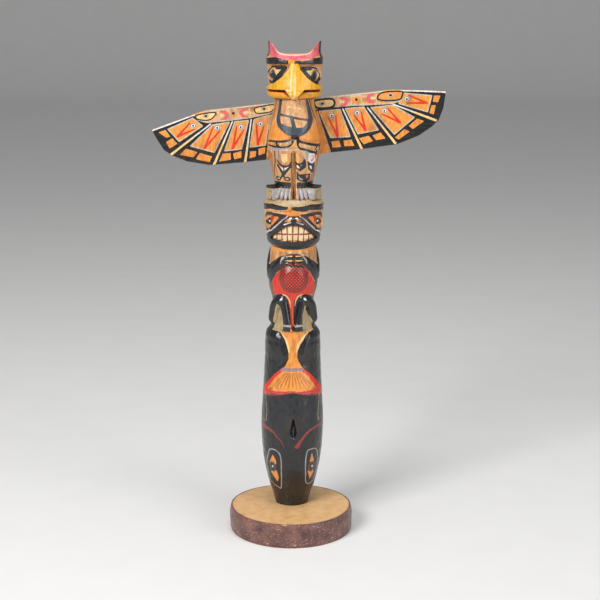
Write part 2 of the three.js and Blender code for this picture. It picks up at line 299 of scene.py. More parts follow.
def bear_body_surface(a, h, angle):
    r = curve(BEAR_TORSO, h)
    within = inside(a, h, BELLY, 3)
    half = HATCH / 2
    hatch = np.minimum(np.abs((a + h) % HATCH - half), np.abs((a - h) % HATCH - half))
    cut = ease((0.75 - hatch) / 0.6) * ease((within - 0.4) / 0.8)
    r = r + 2.6 * ease((within + 0.2) / 9.0) - 0.25 * cut
    r = r - 0.45 * ease((0.9 - np.abs(within - 0.2)) / 0.7)
    for side in (-1, 1):
        arm = [(76 * side, 256, 21.6), (92 * side, 266, 21), (108 * side, 279, 19)]
        forearm = [(78 * side, 254, 21.6), (52 * side, 261.5, 22.4), (26 * side, 272.5, 23)]
        shin = [(29 * side, 231.5, 21.5), (21 * side, 217, 22.4), (14 * side, 202, 23.5)]
        thigh = [(66 * side, 208, 21.6), (58 * side, 222, 20.8), (30 * side, 231, 20.2)]
        for path, width in ((arm, 7.0), (forearm, 6.8), (shin, 4.6), (thigh, 6.4)):
            r = limb(r, a, h, path, width)
        foot = [(side * 0.9, 197), (side * 11.6, 197), (side * 11.2, 204.2), (side * 1.4, 204.6)]
        r = np.maximum(r, 29.4 * ease((inside(a, h, foot) + 0.6) / 0.8))
        r = limb(r, a, h, [(26 * side, 274.4, 22.6), (10 * side, 274.0, 21.9)], 6.4)
        for row in range(4):
            lift = 269.6 + 2.9 * row
            finger = [(27 * side, lift + 0.8, 26.2), (16 * side, lift + 0.4, 28.0),
                      (3.6 * side, lift, 28.0)]
            r = limb(r, a, h, finger, 1.28)
    return r


def off_tooth(a):
    """How far a place is from the middle of the nearest of the bear's teeth."""
    return np.abs((a + 0.8 + TOOTH * 20) % TOOTH - TOOTH / 2)


def bear_head_surface(a, h, angle):
    r = curve(BEAR_HEAD, h)
    for side in (-1, 1):
        r = r - step_up(a * side, h, BEAR_SOCKET, 2.4)
        r = r + step_up(a * side, h, BEAR_BROW, 1.0) * (0.7 + 1.4 * ease((40 - np.abs(a)) / 16))
        r = r + 2.8 * ease((inside(a * side, h, BEAR_CHEEK) + 0.3) / 4.0)
    swell = 3.6 * np.clip(np.cos(angle), 0, 1) ** 0.7
    muzzle = inside(a, h, MUZZLE)
    r = r + swell * ease((muzzle + 0.6) / 1.2) - 0.5 * ease(muzzle / 3.2) * ease((309 - h) / 6)
    mouth = inside(a, h, MOUTH)
    r = r - (swell + 0.9) * ease((mouth + 0.4) / 0.9)
    teeth = ease((TOOTH / 2 - 0.35 - off_tooth(a)) / 0.7) * ease((np.abs(h - GUM) - 0.5) / 0.6)
    r = r + 1.7 * teeth * ease((mouth - 0.35) / 0.6)
    nose = inside(a, h, BEAR_NOSE)
    r = r + 2.4 * ease((nose + 0.4) / 3.0)
    for side in (-1, 1):
        r = r - 1.3 * ease((inside(a, h, oval(5.9 * side, 316.2, 1.6, 1.3)) + 0.5) / 1.2)
    return r * squared(angle, 2.25)


def bear_ears(a, h, angle):
    ear = np.maximum(inside(a, h, BEAR_EAR), inside(-a, h, BEAR_EAR))
    hollow = np.maximum(
        inside(a, h, [(24, 339), (26, 346), (35, 347.4), (35, 339)]),
        inside(-a, h, [(24, 339), (26, 346), (35, 347.4), (35, 339)]),
    )
    shape = (29.6 - 0.9 * ease((hollow + 0.4) / 1.4)) * squared(angle, 2.25)
    return np.where(ear > -0.35, shape, 0)


def eagle_body_surface(a, h, angle):
    r = curve(EAGLE_TORSO, h)
    r = r + step_up(a, h, BIB, 1.2, 0.9)
    gap = inside(a, h, LEG_GAP)
    r = r - 4.2 * ease((gap + 2.4) / 4.0) * ease((394 - h) / 10)
    for side in (-1, 1):
        over = rounded([(side * 1.2, 401.5), (side * 11, 398.2), (side * 22, 396.2), (side * 36, 396.6)],
                       closed=False)
        r = r - 1.3 * ease((along(a, h, over, 3.0) + 0.4) / 1.6)
        r = r - 0.9 * ease((along(a, h, [(side * 1, 390.4), (side * 36, 388.4)], 2.0) + 0.4) / 1.2)
        r = r - 0.8 * ease((along(a, h, [(side * 2.6, 355.2), (side * 34, 355.2)], 1.4) + 0.4) / 1.2)
        for toe in range(4):
            degrees = (8.6 + toe * 11.6) * side
            r = limb(r, a, h, [(degrees, 347, 19.8), (degrees, 343.5, 22.2), (degrees, 338.4, 24.2)], 2.3)
    return r


def eagle_head_surface(a, h, angle):
    r = curve(EAGLE_HEAD, h)
    for side in (-1, 1):
        r = r - step_up(a * side, h, EAGLE_SOCKET, 2.4)
        r = r + step_up(a * side, h, EAGLE_BROW, 1.0) * (0.5 + 1.5 * ease((40 - np.abs(a)) / 16))
        r = r + 3.0 * ease((inside(a * side, h, EAGLE_CHEEK) + 0.3) / 5.0)
    r = r + step_up(a, h, JAW, 1.6)
    reach = np.clip((478 - h) / 34, 0, 1)
    across = np.maximum(0, 1 - np.abs(np.degrees(angle)) / 58)
    ridge = 2 + reach * (1.5 + 8.5 * across**1.6) + 0.5 * ease(1 - np.abs(a + 0.4) / 2.2)
    beak = inside(a, h, BEAK)
    r = r + ridge * ease((beak + 0.6) / 1.2)
    for side in (-1, 1):
        corner = rounded([(side * 38, 448.6), (side * 20, 449.2), (side * 9.5, 449.2), (side * 5.2, 443.6)],
                         closed=False)
        r = r - 1.4 * ease((along(a, h, corner, [1.8, 2.2, 2.4, 1.2]) + 0.5) / 1.4)
    return r * squared(angle, 2.5)


def pole_radius(a, h):
    """The surface's distance from the axis, in millimetres."""
    angle = a / GIRTH
    r = np.zeros(np.shape(a))
    for surface, low, high in (
        (whale_surface, -1, WHALE_TOP),
        (bear_body_surface, WHALE_TOP - 1.2, BEAR_CHIN + 4),
        (bear_head_surface, BEAR_CHIN - 1, BEAR_CROWN),
        (bear_ears, BEAR_CROWN - 3, BEAR_CROWN + 14),
        (eagle_body_surface, BEAR_CROWN - 2, EAGLE_CHIN + 5),
        (eagle_head_surface, EAGLE_CHIN - 1.2, POLE_HEIGHT + 1),
    ):
        band = (h >= low) & (h <= high)
        part = surface(a[band], h[band], angle[band])
        r[band] = np.maximum(r[band], part)
    cuts = np.where(
        h < WHALE_TOP,
        0.34 * knife_cuts(a, h, 5.0, 9.0, 3),
        0.12 * knife_cuts(a, h, 3.2, 5.0, 5),
    )
    behind = ease((np.abs(a) - 50) / 8)
    cuts = cuts * (1 - behind) + behind * 0.5 * knife_cuts(a, h, 7.0, 15.0, 9)
    return r + cuts - 0.25


# ---- the paint, on the same layout: for each colour, how far a point lies inside it ----

OVERLAP = 0.15


class Coat:
    """Colours brushed one over another. "bare" scrapes back to the wood."""

    def __init__(self, u, v, colours):
        self.u, self.v = u, v
        self.depth = {colour: np.full(u.shape, FAR) for colour in colours}

    def lay(self, colour, depth):
        for other, under in self.depth.items():
            if other == colour:
                self.depth[other] = np.maximum(under, depth)
            else:
                self.depth[other] = np.minimum(under, OVERLAP - depth)

    def fill(self, colour, points, grow=0.0):
        self.lay(colour, inside(self.u, self.v, points) + grow)

    def line(self, colour, points, widths):
        self.lay(colour, along(self.u, self.v, points, widths))

    def layers(self):
        return {**self.depth, "painted": np.max(list(self.depth.values()), axis=0)}

    def spot(self, colour, x, y, rx, ry=None, tilt=0.0):
        self.fill(colour, oval(x, y, rx, ry or rx, tilt))


def about(points, side, middle=0.0, tilt=0.0):
    """Points given to the right of a face's middle, put on either side of it."""
    return [(middle + side * x, y - tilt * side) for x, y in points]


def paint_whale(coat):
    """Black all over, an orange tail between red edges, and long ovoid eyes near the foot."""
    coat.fill("black", [(-95, -3), (95, -3), (95, 199), (-95, 199)])
    neck = [(-30, 199), (-30.4, 196.4), (-22.6, 196.8), (-15.7, 195.3), (-9.7, 190.3), (-6.8, 183.3),
            (-4.9, 173), (-4.9, 167), (-8.2, 160), (-11, 157), (11, 157), (8, 162.5), (5.1, 169),
            (5.8, 177), (9.3, 184.5), (13.9, 191.3), (20.1, 195), (30, 196.4), (30, 199)]
    coat.fill("orange", neck)
    # Painted highlights: straw lines along both edges of the tail's neck stand for light on its sloping
    # sides.
    coat.line("straw", [(-13, 194), (-8.2, 189), (-5.6, 182), (-4.0, 174)], [1.2, 2.4, 2.6, 1.2])
    coat.line("straw", [(15, 193), (10.4, 188), (6.6, 183), (4.2, 174)], [1.2, 3.0, 3.0, 1.2])
    coat.line("khaki", [(-30, 197.4), (-20, 198), (-12, 197.4)], 2.2)
    coat.line("khaki", [(30, 197.4), (20, 197.6), (13, 196)], 2.2)
    coat.fill("red", [p for p in TAIL if p[1] < 158.5], 0.4)
    web = [(-9.7, 154.4), (-16.2, 149.5), (-22.7, 140.6), (-27.4, 133.4), (-17, 132), (-8, 133), (0, 133.6),
           (8, 132.6), (15, 133), (25.4, 133.8), (21.4, 140.6), (16.5, 148.7), (9.3, 154.4)]
    coat.fill("orange", web)
    for k in range(-5, 6):
        coat.line("ochre", [(1.55 * k, 153), (3.1 * k, 143), (4.2 * k, 135.5)], [0.9, 1.3, 0.7])
    for side in (-1, 1):
        coat.line("rose", [(side * 2, 131.9), (side * 10, 130.4), (side * 20, 129.4)], [1.2, 2.4, 1.4])
        coat.spot("ochre", side * 22.5, 134.2, 2.6, 1.5, side * -20)
        coat.spot("maroon", side * 22.5, 134.2, 1.1, 0.8)
        coat.line("maroon", [(0, 131.4), (side * 9, 129.6), (side * 19, 127.1), (side * 33, 124.8)], 1.2)
    coat.fill("mauve", [(-11.4, 157.8), (11, 157.8), (12, 154.6), (-12.6, 154)])
    rim = [(38, 147), (36, 138), (32.4, 124), (28.9, 108), (28.3, 97)]
    coat.line("khaki", about(rim, -1), 1.15)
    coat.line("khaki", about(rim, 1), 1.15)
    coat.line("khaki", [(-28.3, 97), (-33, 96.8), (-38, 98.6)], [1.0, 1.2, 1.3])
    coat.line("khaki", [(28.3, 97), (30, 99.4), (34.5, 99.4)], [1.0, 1.2, 1.3])
    coat.line("maroon", rounded([(-38, 91), (-33.4, 90), (-21.6, 88), (-15.2, 82.3), (-10.2, 76.7),
                                 (-8.2, 71)], False), [4.6, 4.2, 2.8, 1.5, 1.1, 0.7])
    coat.line("maroon", rounded([(38, 93), (32.4, 92.2), (21.2, 90.2), (14.9, 86.8), (10.5, 81.4),
                                 (6.6, 75.4), (4.8, 71.8)], False), [3.4, 3.2, 2.4, 2.6, 2.6, 3.4, 4.6])
    left = rounded([(-25.1, 64.8), (-19.8, 66.8), (-14.8, 65.2), (-11.8, 60.4), (-11.4, 48), (-14, 23.2),
                    (-19.3, 22.4), (-28.5, 25.6), (-34.6, 31.3), (-33.6, 44.3), (-29, 56.4)])
    right = rounded([(15.1, 64.7), (19.7, 66.8), (25, 66.4), (28.8, 62.7), (33.2, 50.7), (34.6, 35),
                     (29.8, 26.4), (18.9, 27), (15.7, 38.9), (14.3, 51.6)])
    for edge, x, upper, lower in (
        (left, -22.6, [(-20.6, 61), (-17, 54), (-17, 48.6), (-19.6, 51.6), (-27, 49.6)],
         [(-27, 39.6), (-22, 41.4), (-17.2, 42.8), (-15.6, 34.6), (-18.3, 28.4), (-23, 33.6)]),
        (right, 23.0, [(20.9, 63.8), (25.4, 52.4), (18.6, 52)],
         [(17.4, 42), (22, 41.4), (28.8, 40.2), (23.2, 30.6)]),
    ):
        coat.line("grey", edge + edge[:1], 1.3)
        coat.fill("orange", upper)
        coat.fill("orange", lower)
        coat.spot("brown", x, 46, 4.7, 6.2)
        coat.spot("black", x, 46, 3.4, 4.6)
        coat.spot("white", x + 0.3, 46.4, 1.15, 1.4)


def paint_bear_body(coat):
    """Black arms and legs round a red belly, with khaki wood between the legs."""
    coat.fill("orange", [(-38, 287), (-18, 287), (0, 285), (18, 287), (34, 287), (34, 281), (14, 284),
                         (-10, 282.6), (-34, 281)])
    sleeve = [(66, 289), (42, 285), (41, 276), (39.3, 265.6), (26.5, 271.6), (13.5, 278), (6, 280),
              (0, 280.2), (0, 267), (12.5, 264.8), (18.8, 260.9), (28.8, 250.6), (33, 246.6), (45, 245),
              (66, 262)]
    belly = [(-28.6, 251), (-18.3, 260.9), (-13, 264.5), (-0.9, 267), (12, 265.2), (19.3, 260.8),
             (30.1, 247.6), (34, 236), (24.2, 234.1), (4.8, 234.5), (0.9, 229.7), (-0.4, 216.4),
             (-0.5, 200), (-2.5, 200), (-4, 219.6), (-7.3, 232.3), (-16.2, 236.5), (-29.5, 234),
             (-28.8, 241)]
    coat.fill("brown", [(-45, 246), (-28, 251), (-28, 232), (-45, 231)])
    coat.fill("brown", [(45, 246), (29, 249), (32, 232), (45, 231)])
    coat.fill("red", belly)
    for side in (-1, 1):
        coat.fill("black", about(sleeve, side, 0.5 if side > 0 else 0.0))
    outer = [(46, 231), (35, 231.6), (25.5, 234.2), (14, 236.6), (7, 234.4)]
    gap = {-1: [(-20.3, 226.3), (-16, 221.5), (-13, 215), (-11.4, 205.4), (-11.2, 196), (-30.6, 196),
                (-27, 209), (-24.5, 220)], 1: [(14.2, 225.4), (18, 222), (23, 214.9), (29.7, 202.2),
                                               (30.6, 196), (11, 196), (10.9, 205), (10.9, 214)]}
    shin = {-1: [(-4.2, 219.6), (-2.8, 205), (-2.6, 197), (-46, 197)],
            1: [(0.8, 229), (0.2, 216), (0.6, 205), (0.3, 197), (46, 197)]}
    for side in (-1, 1):
        coat.fill("black", about(outer, side, -1.0) + shin[side])
        coat.fill("khaki", gap[side])
        # Painted highlights: a straw line along the upper edge of each shin and a white patch on each knee
        # stand for light on them.
        coat.line("straw", about([(15, 236.6), (9, 234.4), (5.6, 229.6), (4.2, 222)], side,
                                 -0.6 + side * -1.4), [0.7, 1.4, 1.3, 0.5])
        coat.spot("white", side * 14.4, 231.2, 2.3, 1.1, side * -35)
        coat.line("grey", [(side * 10.2 - 0.2, 203.6), (side * 1.9 - 0.6, 203.2)], 1.8)
        tips = about([(10.6, 0), (1.8, 0)], side, 0.6)
        for height, tone, wide in ((278.4, "straw", 1.2), (273.6, "straw", 1.3), (270.4, "ochre", 1.2),
                                   (268.0, "straw", 1.0)):
            coat.line(tone, [(x, height + y) for x, y in tips], [0.6, wide])
        # Painted highlight: a grey stroke by each wrist stands for light on the black arm.
        coat.line("grey", about([(11.0, 277), (13.4, 273.6), (14.2, 270)], side, 0.4), [1.5, 1.7, 0.9])
    coat.line("maroon", BELLY + BELLY[:1], 1.3)
    coat.line("rose", [(-9, 263.2), (0, 265.4), (8, 263.4), (14, 259)], [1.2, 2.4, 3.2, 1.2])


def paint_bear_head(coat):
    """Black brows and muzzle, lilac lines down the cheeks, cream teeth on dark red."""
    shelf = [(-95, 331.5), (-39.7, 332), (-22.5, 333), (-13, 331.8), (-5.1, 330.8), (1, 330.8),
             (9.5, 331.7), (17.7, 332.7), (32.6, 332.3), (95, 331.5), (95, 337.6), (-95, 337.6)]
    coat.fill("khaki", shelf)
    for side in (-1, 1):
        coat.fill("khaki", about([(18, 337), (18, 352), (46, 352), (46, 337)], side))
        coat.line("brown", about([(24, 338), (25, 344), (33, 347)], side), [1.8, 1.4, 0.8])
    coat.fill("black", [(-46, 331.2), (-35, 331.6), (-22.6, 333), (-13, 331.6), (-5.1, 330.8), (-5.1, 328),
                        (-12.2, 327), (-23, 327.8), (-37, 325), (-46, 325)])
    coat.fill("black", [(46, 331), (31, 331.6), (17.6, 332.6), (7, 331.2), (-1.8, 330.4), (-1.8, 327),
                        (9.7, 325.6), (15.3, 327.2), (37, 325), (46, 325)])
    coat.fill("orange", [(-5, 330.9), (-2.2, 330.7), (-1.6, 327.4), (5, 325.4), (7, 323.4), (5, 320.8),
                         (-6, 320.8), (-9, 323.8), (-13, 326), (-6, 327.8)])
    socket = [(7, 321.2), (15.8, 323.7), (26.4, 324), (34, 322.6), (37, 319), (37.4, 308), (35, 303),
              (28.6, 304), (19.2, 311.2), (12, 317.4)]
    for side in (-1, 1):
        coat.fill("black", about(socket, side, 0, -0.2))
        coat.fill("bare", about([(24, 321.2), (32, 319.6), (34, 314), (33.4, 306), (30.5, 306), (27, 309),
                                 (26, 315)], side))
        lid = about([(27.8, 319), (17.2, 319.8), (15.6, 318.2), (23, 311.4), (26, 309), (29, 312)], side)
        coat.fill("orange", lid)
        coat.fill("red", about([(27.8, 319), (21.5, 319.4), (24.5, 313), (28, 314)], side))
        coat.spot("black", side * 29.4, 313.4, 2.7, 3.9)
        coat.spot("white", side * 29.2, 313.6, 0.95, 1.15)
    muzzle = both([(0, 321), (6, 321), (12.4, 316), (19.4, 309.8), (28, 303), (36, 299.4), (40, 297),
                   (41, 288), (30, 286.6), (12, 284.6), (0, 284.4)])
    coat.fill("black", muzzle)
    for side in (-1, 1):
        cheek = about([(5.6, 321), (9.4, 318.2), (18.4, 310.4), (28, 303.6), (38, 299)], side)
        coat.line("lilac", cheek, [0.9, 1.3, 1.5, 1.5, 1.2])
        coat.spot("bare", side * 4.7, 317.2, 2.7, 1.8, side * -30)
        coat.line("white", about([(8.4, 312.6), (5.2, 313.9), (2.2, 315.4)], side), [1.3, 1.1, 0.7])
        # Painted highlight: a white dot on each side of the nose's top stands for its gloss.
        coat.spot("white", side * 2.6, 319.4, 1.4, 0.7)
    coat.fill("maroon", MOUTH)
    mouth = inside(coat.u, coat.v, MOUTH)
    tooth = np.minimum(TOOTH / 2 - 0.5 - off_tooth(coat.u), np.abs(coat.v - GUM) - 0.6)
    coat.lay("cream", np.minimum(tooth, mouth - 0.3))
    coat.line("rose", [(-14, GUM - 1), (0, GUM), (14, GUM - 1)], [0.5, 1.1, 0.5])


def paint_eagle_body(coat):
    """A slate bib on bare wood, black strokes over the thighs, silver toes."""
    coat.fill("orange", [(-30, 419), (-41, 404), (-41, 397), (-13, 398.4), (-3, 400.6), (-3, 404.6),
                         (-13, 408), (-23, 413)])
    coat.fill("orange", [(31, 417), (44, 401), (44, 392), (18, 395), (6.4, 398.6), (5, 402.6), (15, 406),
                         (23, 412)])
    coat.line("brown", [(-33, 439), (-34, 428), (-38, 414), (-43, 400), (-44, 388)],
              [1.2, 1.8, 2.0, 2.0, 2.4])
    coat.line("black", [(24, 440), (29.5, 428), (35, 419.8), (43, 402), (46, 386)],
              [1.6, 2.0, 2.2, 2.4, 2.6])
    coat.fill("slate", [(-25, 442), (-25.8, 430), (-26.4, 420.4), (-22.3, 412.9), (-12.8, 407), (-2.9, 403),
                        (3.1, 402), (15.4, 406), (22.5, 412), (28, 419.6), (26.4, 430), (20, 442)])
    coat.line("black", [(-18.6, 441), (-20, 430), (-20.6, 421)], 1.4)
    coat.fill("bare", [(-17.6, 442), (-19, 430), (-19.2, 422.4), (-16.5, 416.2), (-10.7, 414), (0, 411.8),
                       (10.7, 411.8), (15.5, 416), (18.8, 421), (18, 430), (16, 442)])
    coat.line("slate", [(-20, 424.9), (-7, 423.2), (3.5, 421.2), (19, 418.9)], [2.6, 2.2, 2.2, 2.6])
    coat.line("slate", [(-3.2, 422), (-0.2, 412.6)], [4.4, 4.6])
    coat.line("straw", [(-8, 432.6), (8.5, 431)], 2.0)
    coat.line("grey", [(-6, 432.2), (4, 431.4)], 0.9)
    coat.fill("black", [(-3.4, 404.8), (5.4, 404), (6.8, 398), (4.6, 394), (3.2, 399.6), (-0.2, 399.6),
                        (-1.6, 395), (-4, 398.6)])
    coat.line("black", rounded([(-44, 396), (-27, 396.8), (-13, 397.6), (-4, 399.4), (-0.8, 402.6)], False),
              [1.6, 2.2, 2.4, 2.2, 1.6])
    coat.line("black", rounded([(-42, 392.2), (-30, 392), (-16.8, 391.6), (-6, 392.8), (-1, 397.4)], False),
              [1.4, 1.8, 2.0, 1.8, 1.6])
    coat.line("black", [(-22.6, 395.4), (-17, 391.8)], 1.9)
    coat.line("grey", [(-40, 388.6), (-24, 388.8), (-12.5, 389.8), (-3, 391.4)], [1.6, 2.4, 2.2, 1.4])
    coat.line("black", rounded([(4.9, 402), (7, 397.6), (18.3, 394.6), (34, 392.4), (46, 392)], False),
              [1.6, 2.6, 2.6, 2.8, 2.4])
    coat.line("black", rounded([(3.4, 399), (5, 392), (11.6, 389.2), (25, 385.4), (36, 382.6), (46, 383)],
                               False), [1.6, 2.0, 2.4, 3.0, 2.6, 2.2])
    coat.line("grey", [(5, 388.6), (13, 387), (24, 382.8)], [1.4, 2.0, 1.6])
    coat.spot("black", 33.5, 388.6, 6.0, 4.6, -12)
    coat.spot("bare", 33.8, 388.6, 3.8, 2.6, -12)
    for side in (-1, 1):
        coat.line("brown", [(side * 29 - 1, 384), (side * 30 - 1, 372), (side * 34, 360)], [1.4, 1.4, 1.2])
        coat.fill("ochre", about([(31, 386), (46, 388), (46, 357), (37, 358), (32, 371)], side))
        coat.fill("black", about([(4.2, 354.6), (22, 354.8), (46, 354.4), (46, 347.6), (22, 348.2),
                                  (4.2, 348.2)], side))
        coat.fill("grey", about([(4.4, 348), (24, 347.6), (24, 336.8), (4.4, 336.8)], side))
        for toe in range(4):
            between = (5.86 * toe + 7.3) * side
            coat.line("maroon", [(between, 344), (between, 337)], [0.5, 2.0])
    coat.line("brown", [(-2.8, 386), (-3.0, 366), (-2.8, 340)], 1.3)
    coat.line("brown", [(1.2, 386), (1.8, 366), (2.4, 340)], 1.3)
    coat.line("black", [(-23.6, 387), (-24.8, 376), (-31, 364), (-33, 356)], [1.4, 1.6, 1.8, 1.6])
    coat.line("grey", [(-20.6, 386), (-20.4, 379)], 3.2)
    coat.fill("straw", [(-15, 385), (-7.6, 385), (-7.6, 377.4), (-11.4, 375), (-15.4, 377.4)])
    coat.line("black", rounded([(-21.2, 378), (-17.4, 373.4), (-11.8, 371.6), (-6, 372.6), (-3.8, 376)],
                               False), [1.6, 2.6, 2.4, 2.4, 1.4])
    coat.line("black", [(-21.6, 372.4), (-14.8, 363.4)], [3.2, 4.0])
    coat.line("black", [(-4.2, 372), (-13.8, 363.4)], [2.8, 4.0])
    coat.fill("white", [(-19.2, 371.2), (-13.4, 369), (-13.4, 366.2)])
    coat.fill("white", [(-5.6, 372), (-12.4, 369.4), (-12.2, 367)])
    coat.line("black", [(-14.4, 371.6), (-13.2, 367)], 1.3)
    coat.spot("black", -24.5, 358.2, 5.6, 2.4)
    coat.spot("bare", -24.0, 358.2, 3.4, 1.1)
    coat.spot("black", -9.4, 358.2, 5.0, 2.4)
    coat.spot("bare", -9.8, 358.2, 3.0, 1.1)
    coat.line("black", [(-19, 359), (-15.4, 363), (-13, 359)], [2.0, 3.0, 2.0])
    coat.fill("grey", [(12.2, 386.2), (17, 385.6), (17.6, 377.6), (14, 379)])
    coat.fill("white", [(17, 385.4), (25.8, 384.4), (29.6, 376), (24, 373.6), (18, 376.4)])
    coat.spot("rose", 23.4, 379.6, 2.8, 3.4)
    coat.spot("white", 22.8, 380.2, 1.5, 2.0)
    coat.line("black", rounded([(17, 376.2), (23, 373), (30, 375)], False), [1.8, 2.2, 1.6])
    coat.fill("black", [(1.6, 378), (4, 375.4), (7, 375), (10, 376.6), (12.4, 380.4), (15, 376),
                        (15.4, 370.4), (8, 366.4), (3, 369.4)])
    coat.fill("white", [(2.4, 373.8), (4.6, 373), (8, 369.6), (4.4, 370)])
    coat.fill("bare", [(7.4, 373.6), (10, 374), (8.4, 370.4)])
    coat.fill("black", [(17, 374), (30, 373.4), (33, 364.6), (27.4, 363.6), (19.4, 368.4)])
    coat.fill("white", [(20, 372.4), (24, 371.4), (27, 367), (22, 369)])
    coat.fill("black", [(3.4, 367), (7, 363.4), (24, 363.2), (26.4, 357.6), (19, 354.6), (8, 356.4),
                        (3.6, 358)])
    coat.fill("bare", [(9, 366.6), (13.6, 368.6), (19, 366.4), (22, 364.6), (9, 364.4)])
    coat.fill("rose", [(15.4, 362), (23, 361.8), (19.6, 357.8)])
    coat.line("grey", [(6, 361.4), (9, 358.4), (13, 357.2)], [0.8, 1.8, 1.0])
    coat.line("black", [(28.6, 364), (29.6, 356)], 1.8)


# The eagle's eyes are painted a little to the left of its beak's middle.
EYES_LEFT = -1.4


def paint_eagle_head(coat):
    """A yellow beak under black brows, and a rose crest. A pale line along the crest's top and straw lines
    down the beak are painted highlights, and slate streaks on the brows are painted reflections.
    """
    coat.fill("yellow", JAW, 0.4)
    coat.fill("yellow", BEAK, 0.5)
    coat.fill("yellow", [(-5.8, 482), (-0.8, 482), (-0.4, 476), (-6.4, 476)])
    # Painted highlights: two straw lines down the beak stand for light on the edges of its ridge.
    for x in (-3.0, 0.5):
        coat.line("straw", [(x, 474), (x - 0.1, 462), (x, 447), (-1.2, 441)], [0.6, 1.3, 1.1, 0.9])
    coat.fill("rose", [(-31, 502), (-30.6, 489), (-29, 485), (-18.4, 482.7), (-6, 480.9), (0, 480.3),
                       (10.8, 480.8), (18.3, 482.8), (27, 484.4), (28, 490), (29.5, 502)])
    # Painted highlight: a pale pink line along the crest's top stands for light caught by its rim.
    crest = rounded([(-27, 498.6), (-22.6, 495), (-19.4, 490.4), (-15, 487), (-8, 486), (0, 485.6),
                     (9, 486.2), (15.4, 487.6), (19.4, 491.4), (22.4, 496), (27, 498.4)], False, 4)
    coat.line("rim_highlight", crest, 1.5)
    coat.fill("black", [(-36.5, 502), (-30.8, 502), (-30.2, 488), (-32, 483), (-37, 483)])
    coat.fill("black", [(34, 502), (29.2, 502), (27.8, 489), (29, 483), (34, 483)])
    coat.fill("black", [(-52, 482), (-33, 482), (-20, 483.4), (-6, 480.4), (-6, 476.6), (-19, 476.1),
                        (-34, 475.6), (-52, 475.4)])
    coat.fill("black", [(52, 482.4), (28, 482.8), (19, 482.4), (11, 480), (-0.6, 479.6), (-0.6, 476.8),
                        (12, 476.6), (34, 475.2), (52, 475)])
    # Painted reflection: a slate streak across each black brow stands for the gloss on it.
    coat.line("slate", [(-14, 480.2), (-8, 479)], [2.4, 2.0])
    coat.line("slate", [(6, 478.6), (15, 479.6)], [1.6, 2.4])
    socket = rounded([(6.6, 473.4), (15.8, 474.6), (26.8, 473), (31.4, 468.6), (33, 462), (31, 457),
                      (26, 455.8), (21, 457.4), (14.4, 462), (9.2, 468.4)])
    for side in (-1, 1):
        coat.fill("black", about(socket, side, EYES_LEFT, 0.5))
        white_of_eye = rounded([(21, 471.8), (28, 470.6), (31.2, 465), (30.4, 459.8), (26, 460), (22, 466)])
        coat.fill("bare", about(white_of_eye, side, EYES_LEFT, 0.5), 0.2)
        coat.fill("slate", about(oval(25.8, 464.8, 3.9, 5.2), side, EYES_LEFT, 0.5))
        coat.fill("black", about(oval(25.6, 463.6, 2.5, 3.4), side, EYES_LEFT, 0.5))
        coat.fill("straw", about([(22.6, 470.2), (14, 470.2), (20.8, 464)], side, EYES_LEFT, 0.5))
        gape = about([(37, 448.9), (18, 449.5), (10.4, 448.9), (6.6, 446.4), (4.4, 443.2)], side, -1.6)
        coat.line("maroon", gape, [2.2, 2.6, 2.4, 1.8, 1.1])
        coat.line("red", [(x, y - 1.1) for x, y in gape[:3]], [0.6, 1.1, 0.8])
    coat.line("maroon", [(-42, 441.3), (0, 440.7), (42, 441.3)], 1.2)


POLE_COLOURS = ("yellow", "orange", "ochre", "rose", "khaki", "red", "maroon", "mauve", "brown", "slate",
                "black", "grey", "straw", "rim_highlight", "cream", "lilac", "white")


def paint_pole(a, h):
    """The colours on the pole's front and sides; behind, above the whale, the wood is bare."""
    coat = Coat(a, h, POLE_COLOURS)
    paint_whale(coat)
    paint_bear_body(coat)
    paint_bear_head(coat)
    paint_eagle_body(coat)
    paint_eagle_head(coat)
    return coat


def feather(coat, panel, bars, eye, tip):
    """One flight feather: an edged panel with a ringed eye and a forked flame, two bars below."""
    coat.fill("pale", panel, 0.9)
    coat.fill("orange", panel, -0.2)
    length = math.hypot(tip[0] - eye[0], tip[1] - eye[1])
    ahead = ((tip[0] - eye[0]) / length, (tip[1] - eye[1]) / length)
    for side in (-1, 1):
        top = (eye[0] - ahead[1] * 4.0 * side + ahead[0] * 1.5,
               eye[1] + ahead[0] * 4.0 * side + ahead[1] * 1.5)
        coat.line("red", [top, tip], [1.6, 3.2, 2.6])
    coat.spot("pale", eye[0], eye[1], 3.5, 3.2)
    coat.spot("slate", eye[0], eye[1], 2.9, 2.6)
    coat.spot("white", eye[0], eye[1], 2.3, 2.0)
    coat.spot("black", eye[0], eye[1] - 0.2, 1.15, 1.3)
    for bar in bars:
        coat.fill("orange", bar, 0.4)


def ovoid(coat, outline, edge, pupil, iris="straw"):
    """A joint mark: a black ovoid with a pale field, a ring and a pupil."""
    coat.fill("black", rounded(outline))
    coat.fill(iris, rounded(outline), -edge)
    coat.spot("bare", pupil[0], pupil[1], 3.3, 2.6)
    coat.spot("pale", pupil[0], pupil[1], 2.5, 2.0)
    coat.spot("black", pupil[0], pupil[1], 1.5, 1.3)


